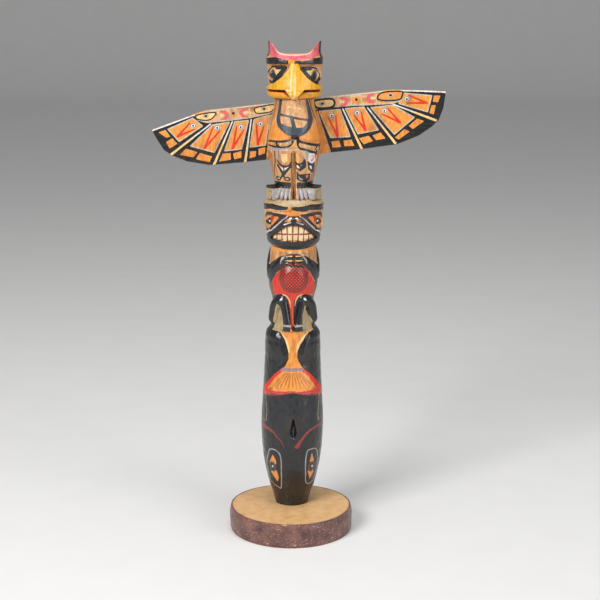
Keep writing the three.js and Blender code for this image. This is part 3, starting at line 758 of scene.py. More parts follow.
LEFT_FEATHERS = (
    ([(-135, -15), (-108, -6.4), (-99, -15.5), (-125, -28.7)],
     [[(-145, -17), (-138, -15.6), (-134, -22.7), (-138.3, -23.2)],
     [(-138.5, -28.2), (-132, -25), (-127.7, -31), (-136, -35)]], (-108.5, -14), (-126, -23.5)),
    ([(-88, -15.7), (-70.5, -15), (-90, -44.4), (-113.5, -35)],
     [[(-125.7, -43), (-119, -37.5), (-108, -42.3), (-112.5, -47)],
     [(-109.7, -49.3), (-105, -43.7), (-93, -48.6), (-96, -54)]], (-83.6, -19), (-99.3, -38.7)),
    ([(-64.4, -15), (-50.3, -15.3), (-61, -44), (-78.6, -44)],
     [[(-81, -47), (-73, -47.3), (-73.7, -53.8), (-85.5, -54.5)],
     [(-70, -48), (-61.6, -46.5), (-62.4, -53), (-69.6, -53.8)]], (-59, -21), (-70, -42.5)),
    ([(-44, -15), (-28, -12.2), (-35.3, -42.8), (-51.6, -43)],
     [[(-52, -48), (-46, -48.2), (-47.3, -53.7), (-53.5, -54.6)],
     [(-42.8, -46), (-36, -45.3), (-37.3, -51.3), (-43.6, -52.6)]], (-38, -20), (-43.2, -41)),
)
RIGHT_FEATHERS = (
    ([(24.7, -14), (46.4, -14.5), (54, -43.7), (33.8, -42.4)],
     [[(34.3, -47), (42, -47), (43.3, -53.2), (34.7, -53.2)],
     [(47, -47.5), (55, -47.4), (57.4, -53.7), (47.4, -53)]], (37.3, -19.6), (41, -42.2)),
    ([(52.4, -14.2), (71.5, -14.8), (84, -40), (62.7, -41.6)],
     [[(63.7, -46.8), (73.5, -45.4), (77.5, -51), (67.6, -53.3)],
     [(78, -45.4), (86.3, -43.3), (90.7, -49.8), (81, -50.3)]], (64, -19.5), (71, -39)),
    ([(79.4, -16.2), (101.6, -16.2), (122.8, -31.2), (100.7, -46.4)],
     [[(101.3, -50), (111.7, -42.5), (116.4, -45.6), (104.6, -52.4)],
     [(117, -39.6), (126.2, -33), (132.4, -36.3), (120.7, -43)]], (92.6, -20.7), (107.8, -35)),
    ([(114.8, -5), (143.4, -10.8), (137.4, -26.7), (108.8, -15)],
     [[(146, -11), (152.3, -11.8), (149.2, -18), (144.3, -17)],
     [(142.5, -20.8), (146.4, -21.2), (143.6, -30), (139.7, -28.5)]], (117.2, -11.2), (137.7, -17.7)),
)

WING_COLOURS = ("orange", "pale", "straw", "rose", "red", "slate", "black", "white")


def paint_wings(across, drop):
    """Each wing: an arm band with two joint marks, and four feathers between pale quills."""
    coat = Coat(across, drop, WING_COLOURS)
    left_arm = [(-103, -10), (-94, -13.6), (-68, -14), (-48, -13.6), (-27, -11.4), (-20, -9)]
    right_arm = [(20, -12.4), (50.7, -12.4), (75.7, -13.8), (101.7, -15.4), (108.8, -14), (114.5, -8)]
    coat.fill("black", left_arm[:5] + [(-30, -25), (-37, -62), (-170, -62), (-170, 2), (-107, 2),
                                       (-106.5, -4)])
    coat.fill("black", [(22.6, -10)] + right_arm[1:] + [(115, 2), (170, 2), (170, -62), (33.2, -62)])
    coat.fill("orange", [(18, -13), (22.6, -13), (31.6, -62), (18, -62)])
    for arm in (left_arm, right_arm):
        coat.line("pale", [(x, y + 1.5) for x, y in arm], 1.0)
        coat.line("black", arm, 1.2)
    # Painted highlight: a pale line just under the board's straight top edge stands for light caught by that
    # edge.
    coat.line("pale", [(-93, -0.7), (0, -0.7), (99, -0.7)], 1.1)
    for panel, bars, eye, tip in LEFT_FEATHERS + RIGHT_FEATHERS:
        feather(coat, panel, bars, eye, tip)
    quills = ([(-90, -14.4), (-137, -42.7)], [(-67, -14.5), (-92.6, -59)], [(-47.2, -14.7), (-59, -59.5)],
              [(49.5, -14), (65, -58)], [(75.5, -15.8), (100.7, -56)], [(102.7, -15.3), (145, -36.7)])
    for quill in quills:
        (x0, y0), (x1, y1) = quill
        coat.line("straw", quill, [1.2, 2.5])
        coat.line("white", [quill[0], ((x0 + x1) / 2, (y0 + y1) / 2)], [1.3, 1.0])
    # Painted highlight: white lines under the sloping top edge, out to each tip, stand for light caught by
    # that edge.
    coat.line("white", [(-106, -3.2), (-130, -9.2), (-152, -14.6)], [1.0, 1.4, 1.2])
    coat.line("white", [(112, -2), (135, -5), (158.6, -8.8)], [1.0, 1.4, 1.4])
    ovoid(coat, [(-105.5, -4.4), (-98, -2.2), (-83, -2.6), (-86, -8.4), (-93, -10.8), (-103, -8.6)], 1.4,
          (-94, -5.6))
    ovoid(coat, [(-43, -3.8), (-39, -1.8), (-21.2, -1.2), (-24, -8.6), (-33.5, -9.8), (-41.5, -8.8)], 1.3,
          (-32.5, -4.8))
    ovoid(coat, [(19.6, -2.8), (23, -0.9), (38.7, -1.2), (42.8, -6.6), (38.6, -11.9), (23.6, -11.4),
                 (19.4, -6.8)], 2.2, (29, -6.4))
    ovoid(coat, [(86, -7), (92, -0.9), (112.6, -2), (113.8, -7), (109, -11.9), (92, -10.8)], 1.5,
          (100.7, -5.4), "orange")
    for x, way in ((-74.6, 1), (-54, -1), (51.6, 1), (79.4, -1)):
        horseshoe = rounded([(x - 3.4 * way, -2.6), (x + 0.8 * way, -3.4), (x + 3.0 * way, -6.6),
                             (x + 0.8 * way, -9.8), (x - 3.4 * way, -11)], False)
        coat.line("rose", horseshoe, [1.8, 3.2, 3.4, 3.2, 1.8])
        coat.line("straw", [(x - 3.2 * way, -6.6), (x - 0.6 * way, -6.6)], [3.2, 1.6])
        bow = 6.6 * way
        coat.line("pale", [(x - bow, -2.6), (x - bow * 0.8, -6.6), (x - bow, -11)], 1.0)
    for x, wide in ((-65, 3.4), (64.6, 5.6)):
        window = [(x - wide, -2.4), (x + wide, -2.4), (x + wide * 0.86, -6), (x + wide, -10.6),
                  (x - wide, -10.6), (x - wide * 0.86, -6)]
        coat.fill("pale", window, 0.7)
        coat.fill("orange", window, -0.2)
        coat.spot("black", x, -6.0, 1.4, 1.6)
    return coat


# ---- modelling ----


def deselect():
    if bpy.context.object and bpy.context.object.mode != "OBJECT":
        bpy.ops.object.mode_set(mode="OBJECT")
    bpy.ops.object.select_all(action="DESELECT")


def start(name):
    """Names the primitive that was just added and opens it in edit mode, nothing selected."""
    piece = bpy.context.object
    piece.name = piece.data.name = name
    bpy.ops.object.transform_apply(location=True, rotation=True, scale=True)
    bpy.ops.object.mode_set(mode="EDIT")
    bpy.ops.mesh.select_all(action="DESELECT")
    return piece


def close(piece):
    """Leaves edit mode with the place in the mesh and the normals outwards."""
    bpy.ops.mesh.select_all(action="SELECT")
    bpy.ops.mesh.normals_make_consistent(inside=False)
    bpy.ops.object.mode_set(mode="OBJECT")
    bpy.ops.object.transform_apply(location=True, rotation=True, scale=True)
    return piece


def points_of(piece):
    co = np.empty(len(piece.data.vertices) * 3)
    piece.data.vertices.foreach_get("co", co)
    return co.reshape(-1, 3)


def move_points(piece, co):
    piece.data.vertices.foreach_set("co", co.ravel())
    piece.data.update()


def select_faces(piece, test):
    """Selects faces in edit mode by their centre and normal."""
    bpy.ops.mesh.select_mode(type="FACE")
    bpy.ops.mesh.select_all(action="DESELECT")
    bpy.ops.object.mode_set(mode="OBJECT")
    for face in piece.data.polygons:
        face.select = bool(test(face.center, face.normal))
    bpy.ops.object.mode_set(mode="EDIT")


def cap(piece, test):
    """Closes the open loop of the vertices that pass the test with one face."""
    bpy.ops.object.mode_set(mode="OBJECT")
    for vertex in piece.data.vertices:
        vertex.select = bool(test(vertex.co))
    for edge in piece.data.edges:
        edge.select = all(piece.data.vertices[k].select for k in edge.vertices)
    for face in piece.data.polygons:
        face.select = False
    bpy.ops.object.mode_set(mode="EDIT")
    bpy.ops.mesh.select_mode(type="VERT")
    bpy.ops.mesh.edge_face_add()


def apply(piece, kind, **settings):
    modifier = piece.modifiers.new(kind, kind)
    for key, value in settings.items():
        setattr(modifier, key, value)
    bpy.context.view_layer.objects.active = piece
    bpy.ops.object.modifier_apply(modifier=modifier.name)


def keep(piece, values):
    """Keeps numbers with the piece's points, by name, for its material."""
    for name, numbers in values.items():
        layer = piece.data.attributes.new(name, "FLOAT", "POINT")
        layer.data.foreach_set("value", np.asarray(numbers, np.float32))


def log_slice():
    """A round of a log: a cylinder, ringed and bevelled, then made uneven as a trunk is."""
    deselect()
    thick = SLICE_HIGH.z - SLICE_LOW.z
    bpy.ops.mesh.primitive_cylinder_add(
        vertices=360, radius=SLICE_RADIUS * MM, depth=thick, location=(0, 0, thick / 2), end_fill_type="NGON"
    )
    piece = start("log_slice")
    for ring in range(1, 26):
        bpy.ops.mesh.select_all(action="SELECT")
        bpy.ops.mesh.bisect(plane_co=(0, 0, thick * ring / 26), plane_no=(0, 0, 1))
    for up in (1, -1):
        select_faces(piece, lambda centre, normal: normal.z * up > 0.9)
        bpy.ops.mesh.inset(thickness=0.0006)
        for width in (0.0014, 0.002, 0.004, 0.012, 0.018):
            bpy.ops.mesh.inset(thickness=width)
    close(piece)
    co = points_of(piece)
    keep(piece, {"from_edge": SLICE_RADIUS - np.hypot(co[:, 0], co[:, 1]) / MM})
    angle = np.arctan2(co[:, 1], co[:, 0])
    share = co[:, 2] / thick
    rim = np.hypot(co[:, 0], co[:, 1]) > (SLICE_RADIUS - 0.1) * MM
    trunk = 1 + 0.012 * np.cos(2 * angle + 0.6) + 0.008 * np.sin(3 * angle)
    swell = np.interp(share, [0, 0.12, 0.7, 1], [-0.1, 0.9, 1.7, 0.1])
    around = angle * BARK_RADIUS
    flakes = knife_cuts(around + 3 * np.sin(share * 5), co[:, 2] / MM, 6.5, 17.0, 21)
    fine = knife_cuts(around, co[:, 2] / MM, 2.1, 4.0, 23)
    uneven = swell + 0.3 * flakes + 0.18 * fine - 0.48
    grow = 1 + np.where(rim, uneven / BARK_RADIUS, 0)
    co[:, :2] *= (trunk * grow)[:, None]
    chip = np.where(rim & (co[:, 2] > thick - 0.0004), 0.25 * MM * fine, 0)
    co[:, 2] -= chip
    move_points(piece, co)
    for face in piece.data.polygons:
        face.material_index = int(abs(face.normal.z) > 0.8)
    return piece


def carved_pole():
    """A sheet rolled round the axis and pressed out to the carving, then sawn: between the
    horns, over the crown and in the notch that takes the wings. Bevels and extrusions can't
    give this much low relief, so the whole skin is pressed out at once."""
    deselect()
    front = np.arange(-100.0, 100.1, 1.55)
    back = np.linspace(front[-1], 360 + front[0], 56)[1:-1]
    turns = np.radians(np.concatenate([front, back]))
    lower = np.arange(0, WHALE_TOP - 2, 1.15)
    upper = np.arange(WHALE_TOP - 2, POLE_HEIGHT, 0.84)
    ledges = [e + d for e in (BEAR_CROWN, EAGLE_CHIN, WHALE_TOP, BEAR_CROWN + 13) for d in (-0.06, 0.06)]
    heights = np.unique(np.concatenate([lower, upper, ledges, [POLE_HEIGHT]]))
    across, up = len(turns), len(heights)
    bpy.ops.mesh.primitive_grid_add(x_subdivisions=across, y_subdivisions=up - 1, size=2)
    piece = bpy.context.object
    piece.name = piece.data.name = "carved_pole"
    flat = points_of(piece)
    column = np.rint((flat[:, 0] + 1) / 2 * across).astype(int)
    row = np.rint((flat[:, 1] + 1) / 2 * (up - 1)).astype(int)
    angle = np.append(turns, turns[0] + 2 * math.pi)[column]
    height = heights[row]
    wrapped = (angle + math.pi) % (2 * math.pi) - math.pi
    radius = pole_radius(wrapped * GIRTH, height)
    co = np.stack([radius * np.sin(angle), -radius * np.cos(angle), height], 1)
    move_points(piece, co * MM)
    bpy.ops.object.mode_set(mode="EDIT")
    bpy.ops.mesh.select_all(action="SELECT")
    bpy.ops.mesh.remove_doubles(threshold=0.00001)
    for end in (0, POLE_HEIGHT):
        cap(piece, lambda v: abs(v.z / MM - end) < 0.01)
    close(piece)
    saw(piece)
    co = points_of(piece)
    a, h = GIRTH * np.arctan2(co[:, 0], -co[:, 1]), co[:, 2] / MM
    keep(piece, paint_pole(a, h).layers())
    keep(piece, {"around": a, "height": h, "belly": inside(a, h, BELLY)})
    mark_sawn_faces(piece)
    co[:, 0] += co[:, 2] * LEAN + FOOT[0] * MM
    co[:, 1] += FOOT[1] * MM
    co[:, 2] += POLE_LOW.z
    move_points(piece, co)
    return piece


def mark_sawn_faces(pole):
    """Gives the second material to the faces a saw left: they lie below the carved skin."""
    count = len(pole.data.polygons)
    centre = np.empty(count * 3)
    pole.data.polygons.foreach_get("center", centre)
    x, y, z = centre.reshape(-1, 3).T / MM
    skin = pole_radius(GIRTH * np.arctan2(x, -y), np.clip(z, 0.1, POLE_HEIGHT - 0.1))
    sawn = (np.hypot(x, y) < skin - 0.8) & ((z > EAGLE_CROWN - 7) | (y > WING_FRONT - 1))
    pole.data.polygons.foreach_set("material_index", sawn.astype(np.int32))


def saw(pole):
    """Cuts away what lies between the horns, above the crown and in the wings' notch."""
    between = rounded(
        [(-26.4, 499.6), (-21.4, 495), (-18.9, 491), (-15, 487.8), (-9.5, 486.6), (0, 486.2),
         (9.5, 486.6), (15, 487.8), (18.9, 491), (21.4, 495), (26.4, 499.6)], closed=False, steps=4
    )
    deselect()
    bpy.ops.mesh.primitive_circle_add(vertices=len(between) + 2, fill_type="NGON")
    cutter = bpy.context.object
    ring = between + [(26.4, 520), (-26.4, 520)]
    co = np.array([(x, -60.0, z) for x, z in ring]) * MM
    move_points(cutter, co)
    bpy.ops.object.mode_set(mode="EDIT")
    bpy.ops.mesh.select_all(action="SELECT")
    bpy.ops.mesh.extrude_region_move(TRANSFORM_OT_translate={"value": (0, 0.12, 0)})
    close(cutter)
    crown = Vector((0, -0.0125, 0.4865))
    bpy.ops.mesh.primitive_cube_add(size=1)
    block = start("block")
    close(block)
    co = points_of(block) * np.array([0.12, 0.09, 0.04]) + np.array([0, 0.045, 0.02])
    tilt = math.radians(-6.5)
    y = co[:, 1] * math.cos(tilt) - co[:, 2] * math.sin(tilt)
    z = co[:, 1] * math.sin(tilt) + co[:, 2] * math.cos(tilt)
    move_points(block, np.stack([co[:, 0], y, z], 1) + np.array(crown))
    bpy.ops.mesh.primitive_cube_add(size=1)
    notch = start("notch")
    close(notch)
    gap = 0.3
    co = points_of(notch) * np.array([0.16, 0.05, (WING_CHORD + 2 * gap) * MM])
    co += np.array([0, 0.025 + (WING_FRONT - gap) * MM, -WING_CHORD / 2 * MM])
    x = co[:, 0] * math.cos(WING_ROLL) - co[:, 2] * math.sin(WING_ROLL)
    z = co[:, 0] * math.sin(WING_ROLL) + co[:, 2] * math.cos(WING_ROLL)
    move_points(notch, np.stack([x, co[:, 1], z + LEADING_EDGE * MM], 1))
    for tool in (cutter, block, notch):
        deselect()
        pole.select_set(True)
        apply(pole, "BOOLEAN", operation="DIFFERENCE", object=tool, solver="MANIFOLD")
        bpy.data.objects.remove(tool)
    pole.data.materials.clear()


# The wings' board: "across" runs along the straight leading edge from the pole's axis, to the
# viewer's right, and "drop" is negative below that edge.
def wing_edge(side):
    half = WING_SPAN / 2
    tip = 13.8 if side < 0 else 7.8
    top = [(half * 0.62, 0), (half * 0.7, -tip * 0.16), (half, -tip)]
    low = [
        (half, -tip), (half * 0.972, -25), (half * 0.935, -36.5), (half * 0.885, -43), (half * 0.79, -51),
        (half * 0.64, -WING_CHORD + 1), (half * 0.42, -WING_CHORD), (half * 0.2, -WING_CHORD),
    ]
    return top, low


def wing_limits(across):
    """The board's upper and lower edge at a place across it."""
    top, low = np.zeros(across.shape), np.zeros(across.shape)
    for side in (-1, 1):
        upper, lower = wing_edge(side)
        out = (across - WING_SHIFT) * side
        here = out >= 0
        top[here] = np.interp(out, [x for x, _ in upper], [y for _, y in upper])[here]
        low[here] = np.interp(out, [x for x, _ in lower][::-1], [y for _, y in lower][::-1])[here]
    return top, low


def to_board(across, drop, depth):
    """A place on the board, in millimetres, as a point in metres."""
    x = across * math.cos(WING_ROLL) - drop * math.sin(WING_ROLL) + FOOT[0] + LEADING_EDGE * LEAN
    z = across * math.sin(WING_ROLL) + drop * math.cos(WING_ROLL) + LEADING_EDGE + FOOT_Z
    y = WING_FRONT + depth + FOOT[1]
    return np.stack([x, y, z], -1) * MM


def board_of(co):
    """Where a point in metres lies on the board: across, drop and depth in millimetres."""
    x = co[:, 0] / MM - FOOT[0] - LEADING_EDGE * LEAN
    z = co[:, 2] / MM - FOOT_Z - LEADING_EDGE
    across = x * math.cos(WING_ROLL) + z * math.sin(WING_ROLL)
    drop = -x * math.sin(WING_ROLL) + z * math.cos(WING_ROLL)
    return across, drop, co[:, 1] / MM - FOOT[1] - WING_FRONT


def wing_board():
    """One thin board: a fine sheet trimmed to the outline, its rim drawn back and closed."""
    deselect()
    columns, rows = 560, 104
    bpy.ops.mesh.primitive_grid_add(x_subdivisions=columns, y_subdivisions=rows, size=2)
    piece = bpy.context.object
    piece.name = piece.data.name = "wing_board"
    flat = points_of(piece)
    half = WING_SPAN / 2
    across = WING_SHIFT + flat[:, 0] * (half - 0.02)
    top, low = wing_limits(across)
    share = (flat[:, 1] + 1) / 2
    drop = low + (top - low) * share
    ends = (half - np.abs(across - WING_SHIFT)) * 0.5
    inset = np.minimum(np.minimum(top - drop, drop - low), ends)
    round_over = 0.7 * (1 - np.sqrt(np.clip(inset / 0.8, 0, 1) * (2 - np.clip(inset / 0.8, 0, 1))))
    planed = 0.14 * knife_cuts(across, drop, 9.0, 4.0, 31)
    move_points(piece, to_board(across, drop, round_over + planed * np.clip(inset, 0, 1) + 0.02))
    bpy.ops.object.mode_set(mode="EDIT")
    bpy.ops.mesh.select_all(action="DESELECT")
    bpy.ops.mesh.select_mode(type="EDGE")
    bpy.ops.mesh.select_non_manifold()
    bpy.ops.mesh.extrude_region_move(TRANSFORM_OT_translate={"value": (0, (WING_THICKNESS - 1.6) * MM, 0)})
    bpy.ops.mesh.extrude_region_move(TRANSFORM_OT_translate={"value": (0, 0.6 * MM, 0)})
    bpy.ops.transform.resize(value=(0.9975, 1, 0.993))
    bpy.ops.mesh.edge_face_add()
    bpy.ops.mesh.inset(thickness=0.004)
    close(piece)
    across, drop, depth = board_of(points_of(piece))
    coat = paint_wings(across, drop)
    coat.lay("bare", depth - 1.4)
    keep(piece, coat.layers())
    return piece


# ---- materials ----


def linear(hex_colour):
    """An sRGB hex colour as the linear colour that a shader takes."""
    out = []
    for k in (0, 2, 4):
        c = int(hex_colour.lstrip("#")[k : k + 2], 16) / 255
        out.append(c / 12.92 if c <= 0.04045 else ((c + 0.055) / 1.055) ** 2.4)
    return (*out, 1.0)


def node(tree, kind, settings=None, links=None):
    """Adds a node: settings are its properties or, by number or name, its sockets' values."""
    made = tree.nodes.new(kind)
    for key, value in (settings or {}).items():
        if isinstance(key, int) or key in made.inputs:
            made.inputs[key].default_value = value
        else:
            setattr(made, key, value)
    for key, source in (links or {}).items():
        tree.links.new(source, made.inputs[key])
    return made


def material(name):
    made = bpy.data.materials.new(name)
    made.use_nodes = True
    made.node_tree.nodes.clear()
    return made, made.node_tree


def finish_surface(tree, shader):
    node(tree, "ShaderNodeOutputMaterial", links={"Surface": shader.outputs["BSDF"]})


def put_on(piece, *materials):
    """Adds the materials in order; each face keeps the number of its own."""
    for made in materials:
        piece.data.materials.append(made)


def blend(tree, share, under, over):
    """One colour over another, by share."""
    made = node(tree, "ShaderNodeMix", {"data_type": "RGBA"}, {0: share})
    for socket, colour in ((6, under), (7, over)):
        if isinstance(colour, str):
            made.inputs[socket].default_value = linear(colour)
        else:
            tree.links.new(colour, made.inputs[socket])
    return made.outputs[2]


def level(tree, value, low, high, start=0.0, end=1.0):
    """Maps low..high smoothly to start..end."""
    settings = {"interpolation_type": "SMOOTHSTEP", 1: low, 2: high, 3: start, 4: end}
    return node(tree, "ShaderNodeMapRange", settings, {0: value}).outputs[0]


def sums(tree, kind, first, second):
    """Arithmetic on two values, where either may be a plain number."""
    made = node(tree, "ShaderNodeMath", {"operation": kind})
    for socket, value in enumerate((first, second)):
        if isinstance(value, (int, float)):
            made.inputs[socket].default_value = value
        else:
            tree.links.new(value, made.inputs[socket])
    return made.outputs[0]


def measured(tree, stretch=(1, 1, 1), turn=(0, 0, 0)):
    """The piece's own coordinates, in millimetres, squeezed along the grain."""
    place = node(tree, "ShaderNodeTexCoord").outputs["Object"]
    scale = tuple(k / MM for k in stretch)
    return node(tree, "ShaderNodeMapping", {"Rotation": turn, "Scale": scale}, {"Vector": place}).outputs[0]


def cloud(tree, place, size, detail=3.0, rough=0.55):
    """Noise whose lumps are about size millimetres across."""
    settings = {"Scale": 1.0 / size, "Detail": detail, "Roughness": rough}
    return node(tree, "ShaderNodeTexNoise", settings, {"Vector": place}).outputs[0]


def ramp(tree, value, stops):
    made = node(tree, "ShaderNodeValToRGB", links={0: value})
    band = made.color_ramp
    while len(band.elements) < len(stops):
        band.elements.new(0.5)
    for element, (place, colour) in zip(band.elements, stops):
        element.position = place
        element.color = linear(colour)
    return made.outputs[0]


def attribute(tree, name):
    return node(tree, "ShaderNodeAttribute", {"attribute_name": name}).outputs["Fac"]


def cedar_grain(tree, stretch, turn, tones):
    """Planed softwood: long soft streaks with finer, darker late-wood lines in them."""
    place = measured(tree, stretch, turn)
    broad = cloud(tree, place, 5.0, 2.0)
    fine = cloud(tree, place, 0.9, 4.0, 0.65)
    colour = ramp(tree, broad, [(0.3, tones[0]), (0.5, tones[1]), (0.7, tones[2])])
    lines = level(tree, fine, 0.5, 0.72, 0.0, 0.45)
    return blend(tree, lines, colour, tones[3]), fine


# Brushed paint on the carved cedar, broad colours first. The sheen differs: the black was laid
# on thick and dries glossy, the colours were thinned and dry satin.
# Some strokes in straw, grey, slate and white, and the pale pink of the eagle's crest rim, are painted
# highlights and reflections.
PAINTS = {
    "yellow": "#E8A312",
    "orange": "#E6923E",
    "ochre": "#B8702C",
    "pale": "#BDB9A6",
    "rose": "#D9606A",
    "khaki": "#B09A70",
    "red": "#D62F1C",
    "mauve": "#9A7A80",
    "brown": "#7A4A20",
    "slate": "#39454D",
    "black": "#15171B",
    "maroon": "#8A2A28",
    "grey": "#A09C9A",
    "straw": "#F0C684",
    # A painted highlight: this pale pink only stands for light on the crest's rim.
    "rim_highlight": "#F2BFAE",
    "cream": "#F0D0A4",
    "lilac": "#D8CAD0",
    "white": "#E6E2DC",
}


def painted_wood(name, colours, stretch, turn=(0, 0, 0), hatched=False):
    """Carved cedar with brushed enamel over it: soft-edged strokes, paint worn through on the ridges
    and painted shade darkening the cuts and hollows, under one thin coat of varnish."""
    made, tree = material(name)
    colour, fine = cedar_grain(tree, stretch, turn, ("#AE6C38", "#D59C62", "#EABB8A", "#8A5228"))
    spread = measured(tree)
    shake = cloud(tree, spread, 1.3, 2.0)
    strokes = cloud(tree, measured(tree, (1, 1, 0.35)), 2.2, 5.0, 0.6)
    drift = sums(tree, "MULTIPLY", sums(tree, "SUBTRACT", shake, 0.5), 0.55)
    for coat in [c for c in PAINTS if c in colours]:
        mask = level(tree, sums(tree, "ADD", attribute(tree, coat), drift), -0.14, 0.14)
        colour = blend(tree, mask, colour, PAINTS[coat])
    thinned = level(tree, strokes, 0.3, 0.7, 0.74, 1.06)
    colour = node(tree, "ShaderNodeHueSaturation", links={"Value": thinned, "Color": colour}).outputs[0]
    covered = level(tree, attribute(tree, "painted"), -0.14, 0.14)
    glossy = level(tree, attribute(tree, "black"), -0.14, 0.14)
    rough = level(tree, strokes, 0.2, 0.8, 0.42, 0.55)
    rough = sums(tree, "SUBTRACT", rough, sums(tree, "MULTIPLY", covered, 0.1))
    rough = sums(tree, "SUBTRACT", rough, sums(tree, "MULTIPLY", glossy, 0.12))
    if hatched:
        around, height = attribute(tree, "around"), attribute(tree, "height")
        lines = None
        for way in ("ADD", "SUBTRACT"):
            wave = sums(tree, "PINGPONG", sums(tree, way, around, height), HATCH / 2)
            line = level(tree, sums(tree, "ADD", wave, drift), HATCH / 2 - 0.8, HATCH / 2 - 0.55)
            lines = line if lines is None else sums(tree, "MAXIMUM", lines, line)
        lines = sums(tree, "MULTIPLY", lines, level(tree, attribute(tree, "belly"), 0.4, 1.0))
        colour = blend(tree, sums(tree, "MULTIPLY", lines, 0.85), colour, "#2C0D0B")
    smoke = level(tree, cloud(tree, measured(tree, (1, 1, 0.3)), 9.0, 5.0, 0.65), 0.5, 0.72, 0.0, 0.4)
    colour = blend(tree, smoke, colour, "#4A2A16")
    sharp = node(tree, "ShaderNodeNewGeometry").outputs["Pointiness"]
    patchy = level(tree, cloud(tree, spread, 6.0, 4.0), 0.42, 0.62)
    ridge = level(tree, sums(tree, "ADD", sharp, sums(tree, "MULTIPLY", drift, 0.05)), 0.53, 0.6)
    worn = sums(tree, "MULTIPLY", ridge, sums(tree, "MULTIPLY", patchy, 0.55))
    colour = blend(tree, worn, colour, "#C08A58")
    # Painted shade: concave places, where pointiness is low, are darkened towards a deep brown.
    hollow = sums(tree, "MULTIPLY", level(tree, sharp, 0.48, 0.42), 0.6)
    colour = blend(tree, hollow, colour, "#2A160C")
    rough = sums(tree, "ADD", rough, sums(tree, "MULTIPLY", sums(tree, "ADD", worn, hollow), 0.3))
    paint_height = sums(tree, "MULTIPLY", covered, sums(tree, "MULTIPLY", strokes, 0.8))
    relief = sums(tree, "ADD", sums(tree, "MULTIPLY", fine, 0.6), paint_height)
    bump = node(tree, "ShaderNodeBump", {"Strength": 0.45, "Distance": 0.0003}, {"Height": relief})
    shader = node(
        tree, "ShaderNodeBsdfPrincipled", {"IOR": 1.5, "Coat Weight": 0.25, "Coat Roughness": 0.22},
        {"Base Color": colour, "Roughness": rough, "Normal": bump.outputs[0]},
    )
    finish_surface(tree, shader)
    return made


def sawn_cedar():
    """Cedar straight from the saw: no paint, fine cross marks, dull."""
    made, tree = material("sawn_cedar")
    colour, fine = cedar_grain(tree, (1, 1, 0.08), (0, 0, 0), ("#B07038", "#C9884C", "#DCA66C", "#8A5026"))
    kerf = cloud(tree, measured(tree, (0.1, 0.1, 1.6)), 0.8, 2.0)
    bump = node(tree, "ShaderNodeBump", {"Strength": 0.5, "Distance": 0.0003}, {"Height": kerf})
    settings = {"IOR": 1.45}
    links = {"Base Color": colour, "Roughness": level(tree, fine, 0.2, 0.8, 0.55, 0.8),
             "Normal": bump.outputs[0]}
    finish_surface(tree, node(tree, "ShaderNodeBsdfPrincipled", settings, links))
    return made


def sawn_end():
    """The slice's sawn end: growth rings, a dark line under the bark, satin varnish."""
    made, tree = material("sawn_end_grain")
    place = measured(tree)
    wander = cloud(tree, place, 22.0, 3.0)
    reach = node(tree, "ShaderNodeVectorMath", {"operation": "LENGTH"},
                 {0: measured(tree, (1, 1, 0))}).outputs["Value"]
    rings = sums(tree, "PINGPONG", sums(tree, "ADD", reach, sums(tree, "MULTIPLY", wander, 9.0)), 0.95)
    late = level(tree, rings, 0.45, 0.95)
    soft = cloud(tree, place, 9.0, 4.0)
    colour = ramp(tree, soft, [(0.25, "#D29E66"), (0.5, "#DFB27A"), (0.75, "#E6BE8A")])
    colour = blend(tree, sums(tree, "MULTIPLY", late, 0.32), colour, "#A8713C")
    edge = sums(tree, "ADD", attribute(tree, "from_edge"),
                sums(tree, "MULTIPLY", sums(tree, "SUBTRACT", soft, 0.5), 1.6))
    colour = blend(tree, level(tree, edge, 3.4, 2.4, 0.0, 0.6), colour, "#C98A74")
    colour = blend(tree, level(tree, edge, 2.0, 1.3, 0.0, 0.9), colour, "#5A3028")
    scratch = cloud(tree, measured(tree, (0.12, 1.5, 1)), 1.0, 2.0)
    relief = sums(tree, "ADD", sums(tree, "MULTIPLY", late, 0.4), scratch)
    bump = node(tree, "ShaderNodeBump", {"Strength": 0.35, "Distance": 0.0002}, {"Height": relief})
    links = {"Base Color": colour, "Roughness": level(tree, soft, 0.2, 0.8, 0.32, 0.5),
             "Normal": bump.outputs[0]}
    finish_surface(tree, node(tree, "ShaderNodeBsdfPrincipled", {"IOR": 1.5, "Coat Weight": 0.2}, links))
    return made


def bark():
    """Smooth thin bark, varnished: wine-brown with pale flecks."""
    made, tree = material("varnished_bark")
    place = measured(tree)
    broad = cloud(tree, place, 14.0, 4.0)
    colour = ramp(tree, broad, [(0.3, "#4A2A26"), (0.5, "#6B4540"), (0.7, "#8A5F50")])
    upright = cloud(tree, measured(tree, (1, 1, 0.16)), 1.1, 4.0, 0.65)
    colour = blend(tree, level(tree, upright, 0.5, 0.7, 0.0, 0.5), colour, "#38201C")
    dots = cloud(tree, place, 1.6, 2.0, 0.7)
    colour = blend(tree, level(tree, dots, 0.62, 0.68, 0.0, 0.75), colour, "#C4A294")
    dash = cloud(tree, measured(tree, (0.22, 0.22, 1.2)), 1.5, 2.0)
    colour = blend(tree, level(tree, dash, 0.66, 0.7, 0.0, 0.8), colour, "#D8A894")
    relief = sums(tree, "ADD", upright, sums(tree, "MULTIPLY", dots, 0.8))
    bump = node(tree, "ShaderNodeBump", {"Strength": 0.7, "Distance": 0.0007}, {"Height": relief})
    links = {"Base Color": colour, "Roughness": level(tree, upright, 0.25, 0.75, 0.34, 0.6),
             "Normal": bump.outputs[0]}
    finish_surface(tree, node(tree, "ShaderNodeBsdfPrincipled",
                              {"IOR": 1.5, "Coat Weight": 0.25, "Coat Roughness": 0.3}, links))
    return made


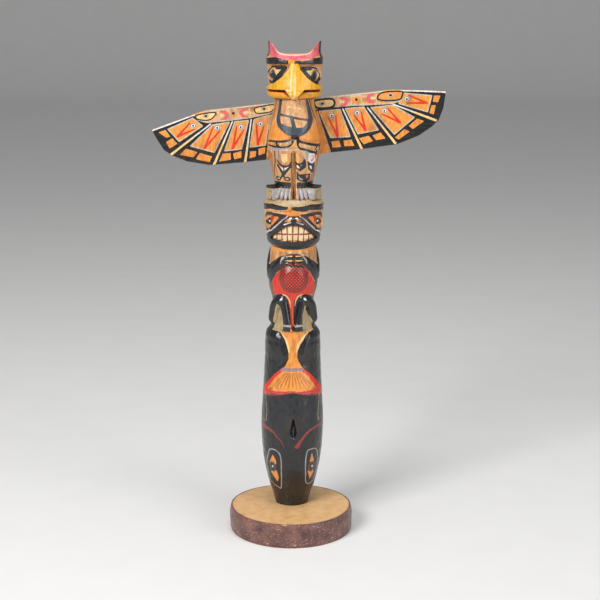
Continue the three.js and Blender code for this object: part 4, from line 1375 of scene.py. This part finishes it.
def pale_floor():
    """Matt pale paper, very slightly uneven."""
    made, tree = material("pale_floor")
    tone = cloud(tree, measured(tree), 60.0, 2.0)
    colour = blend(tree, tone, "#DEDDDB", "#E4E3E1")
    settings = {"Roughness": 0.8, "IOR": 1.45}
    finish_surface(tree, node(tree, "ShaderNodeBsdfPrincipled", settings, {"Base Color": colour}))
    return made


# ---- pieces ----

log_piece = log_slice()
pole_piece = carved_pole()
wings_piece = wing_board()

for piece, cad_node, slot in (
    (log_piece, "log_base", "barked_log"),
    (pole_piece, "pole", "painted_cedar"),
    (wings_piece, "wings", "painted_board"),
):
    deselect()
    piece.select_set(True)
    bpy.context.view_layer.objects.active = piece
    bpy.ops.object.shade_smooth_by_angle(angle=math.radians(50))
    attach(piece, "root")
    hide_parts(cad_node)

put_on(log_piece, bark(), sawn_end())
put_on(pole_piece, painted_wood("painted_cedar", POLE_COLOURS, (1, 1, 0.07), hatched=True), sawn_cedar())
put_on(wings_piece, painted_wood("painted_cedar_board", WING_COLOURS, (0.07, 1, 1), (0, WING_ROLL, 0)))

# ---- floor, lights and camera ----

deselect()
bpy.ops.mesh.primitive_plane_add(size=8, location=(0, 1.5, SLICE_LOW.z))
floor = start("floor")
bpy.ops.mesh.select_mode(type="EDGE")
bpy.ops.object.mode_set(mode="OBJECT")
for edge in floor.data.edges:
    ends = [floor.data.vertices[k].co.y for k in edge.vertices]
    edge.select = min(ends) > 1
bpy.ops.object.mode_set(mode="EDIT")
bpy.ops.mesh.extrude_region_move(TRANSFORM_OT_translate={"value": (0, 0, 4)})
bpy.ops.mesh.select_all(action="SELECT")
close(floor)
apply(floor, "BEVEL", width=0.9, segments=14, limit_method="ANGLE")
deselect()
floor.select_set(True)
bpy.ops.object.shade_smooth()
put_on(floor, pale_floor())


def soft_light(name, place, aim, size, power, colour=(1, 1, 1)):
    light = bpy.data.lights.new(name, "AREA")
    light.shape = "RECTANGLE"
    light.size, light.size_y = size
    light.energy = power
    light.color = colour
    made = bpy.data.objects.new(name, light)
    made.location = place
    made.rotation_euler = (Vector(aim) - Vector(place)).to_track_quat("-Z", "Y").to_euler()
    bpy.context.scene.collection.objects.link(made)


middle = (0, 0, 0.27)
soft_light("key", (-1.1, -1.5, 1.5), middle, (0.9, 0.9), 42)
soft_light("fill", (1.5, -1.3, 0.7), middle, (0.9, 1.2), 14)
soft_light("top", (0.1, -0.3, 2.0), middle, (0.8, 0.8), 14)

world = bpy.data.worlds.new("studio")
bpy.context.scene.world = world
world.use_nodes = True
world.node_tree.nodes["Background"].inputs["Color"].default_value = linear("#C8CACC")
world.node_tree.nodes["Background"].inputs["Strength"].default_value = 0.5
bpy.context.scene.view_settings.view_transform = "Standard"

CAMERA_PLACE = (0.0016, -1.6025, 0.621)
CAMERA_DOWN = 12.9
CAMERA_RIGHT = 0.3
LENS = 93.24
camera = bpy.data.cameras.new("camera")
camera.sensor_width = 36
camera.lens = LENS
camera_object = bpy.data.objects.new("camera", camera)
camera_object.location = CAMERA_PLACE
camera_object.rotation_euler = (math.radians(90 - CAMERA_DOWN), 0, math.radians(-CAMERA_RIGHT))
bpy.context.scene.collection.objects.link(camera_object)
bpy.context.scene.camera = camera_object
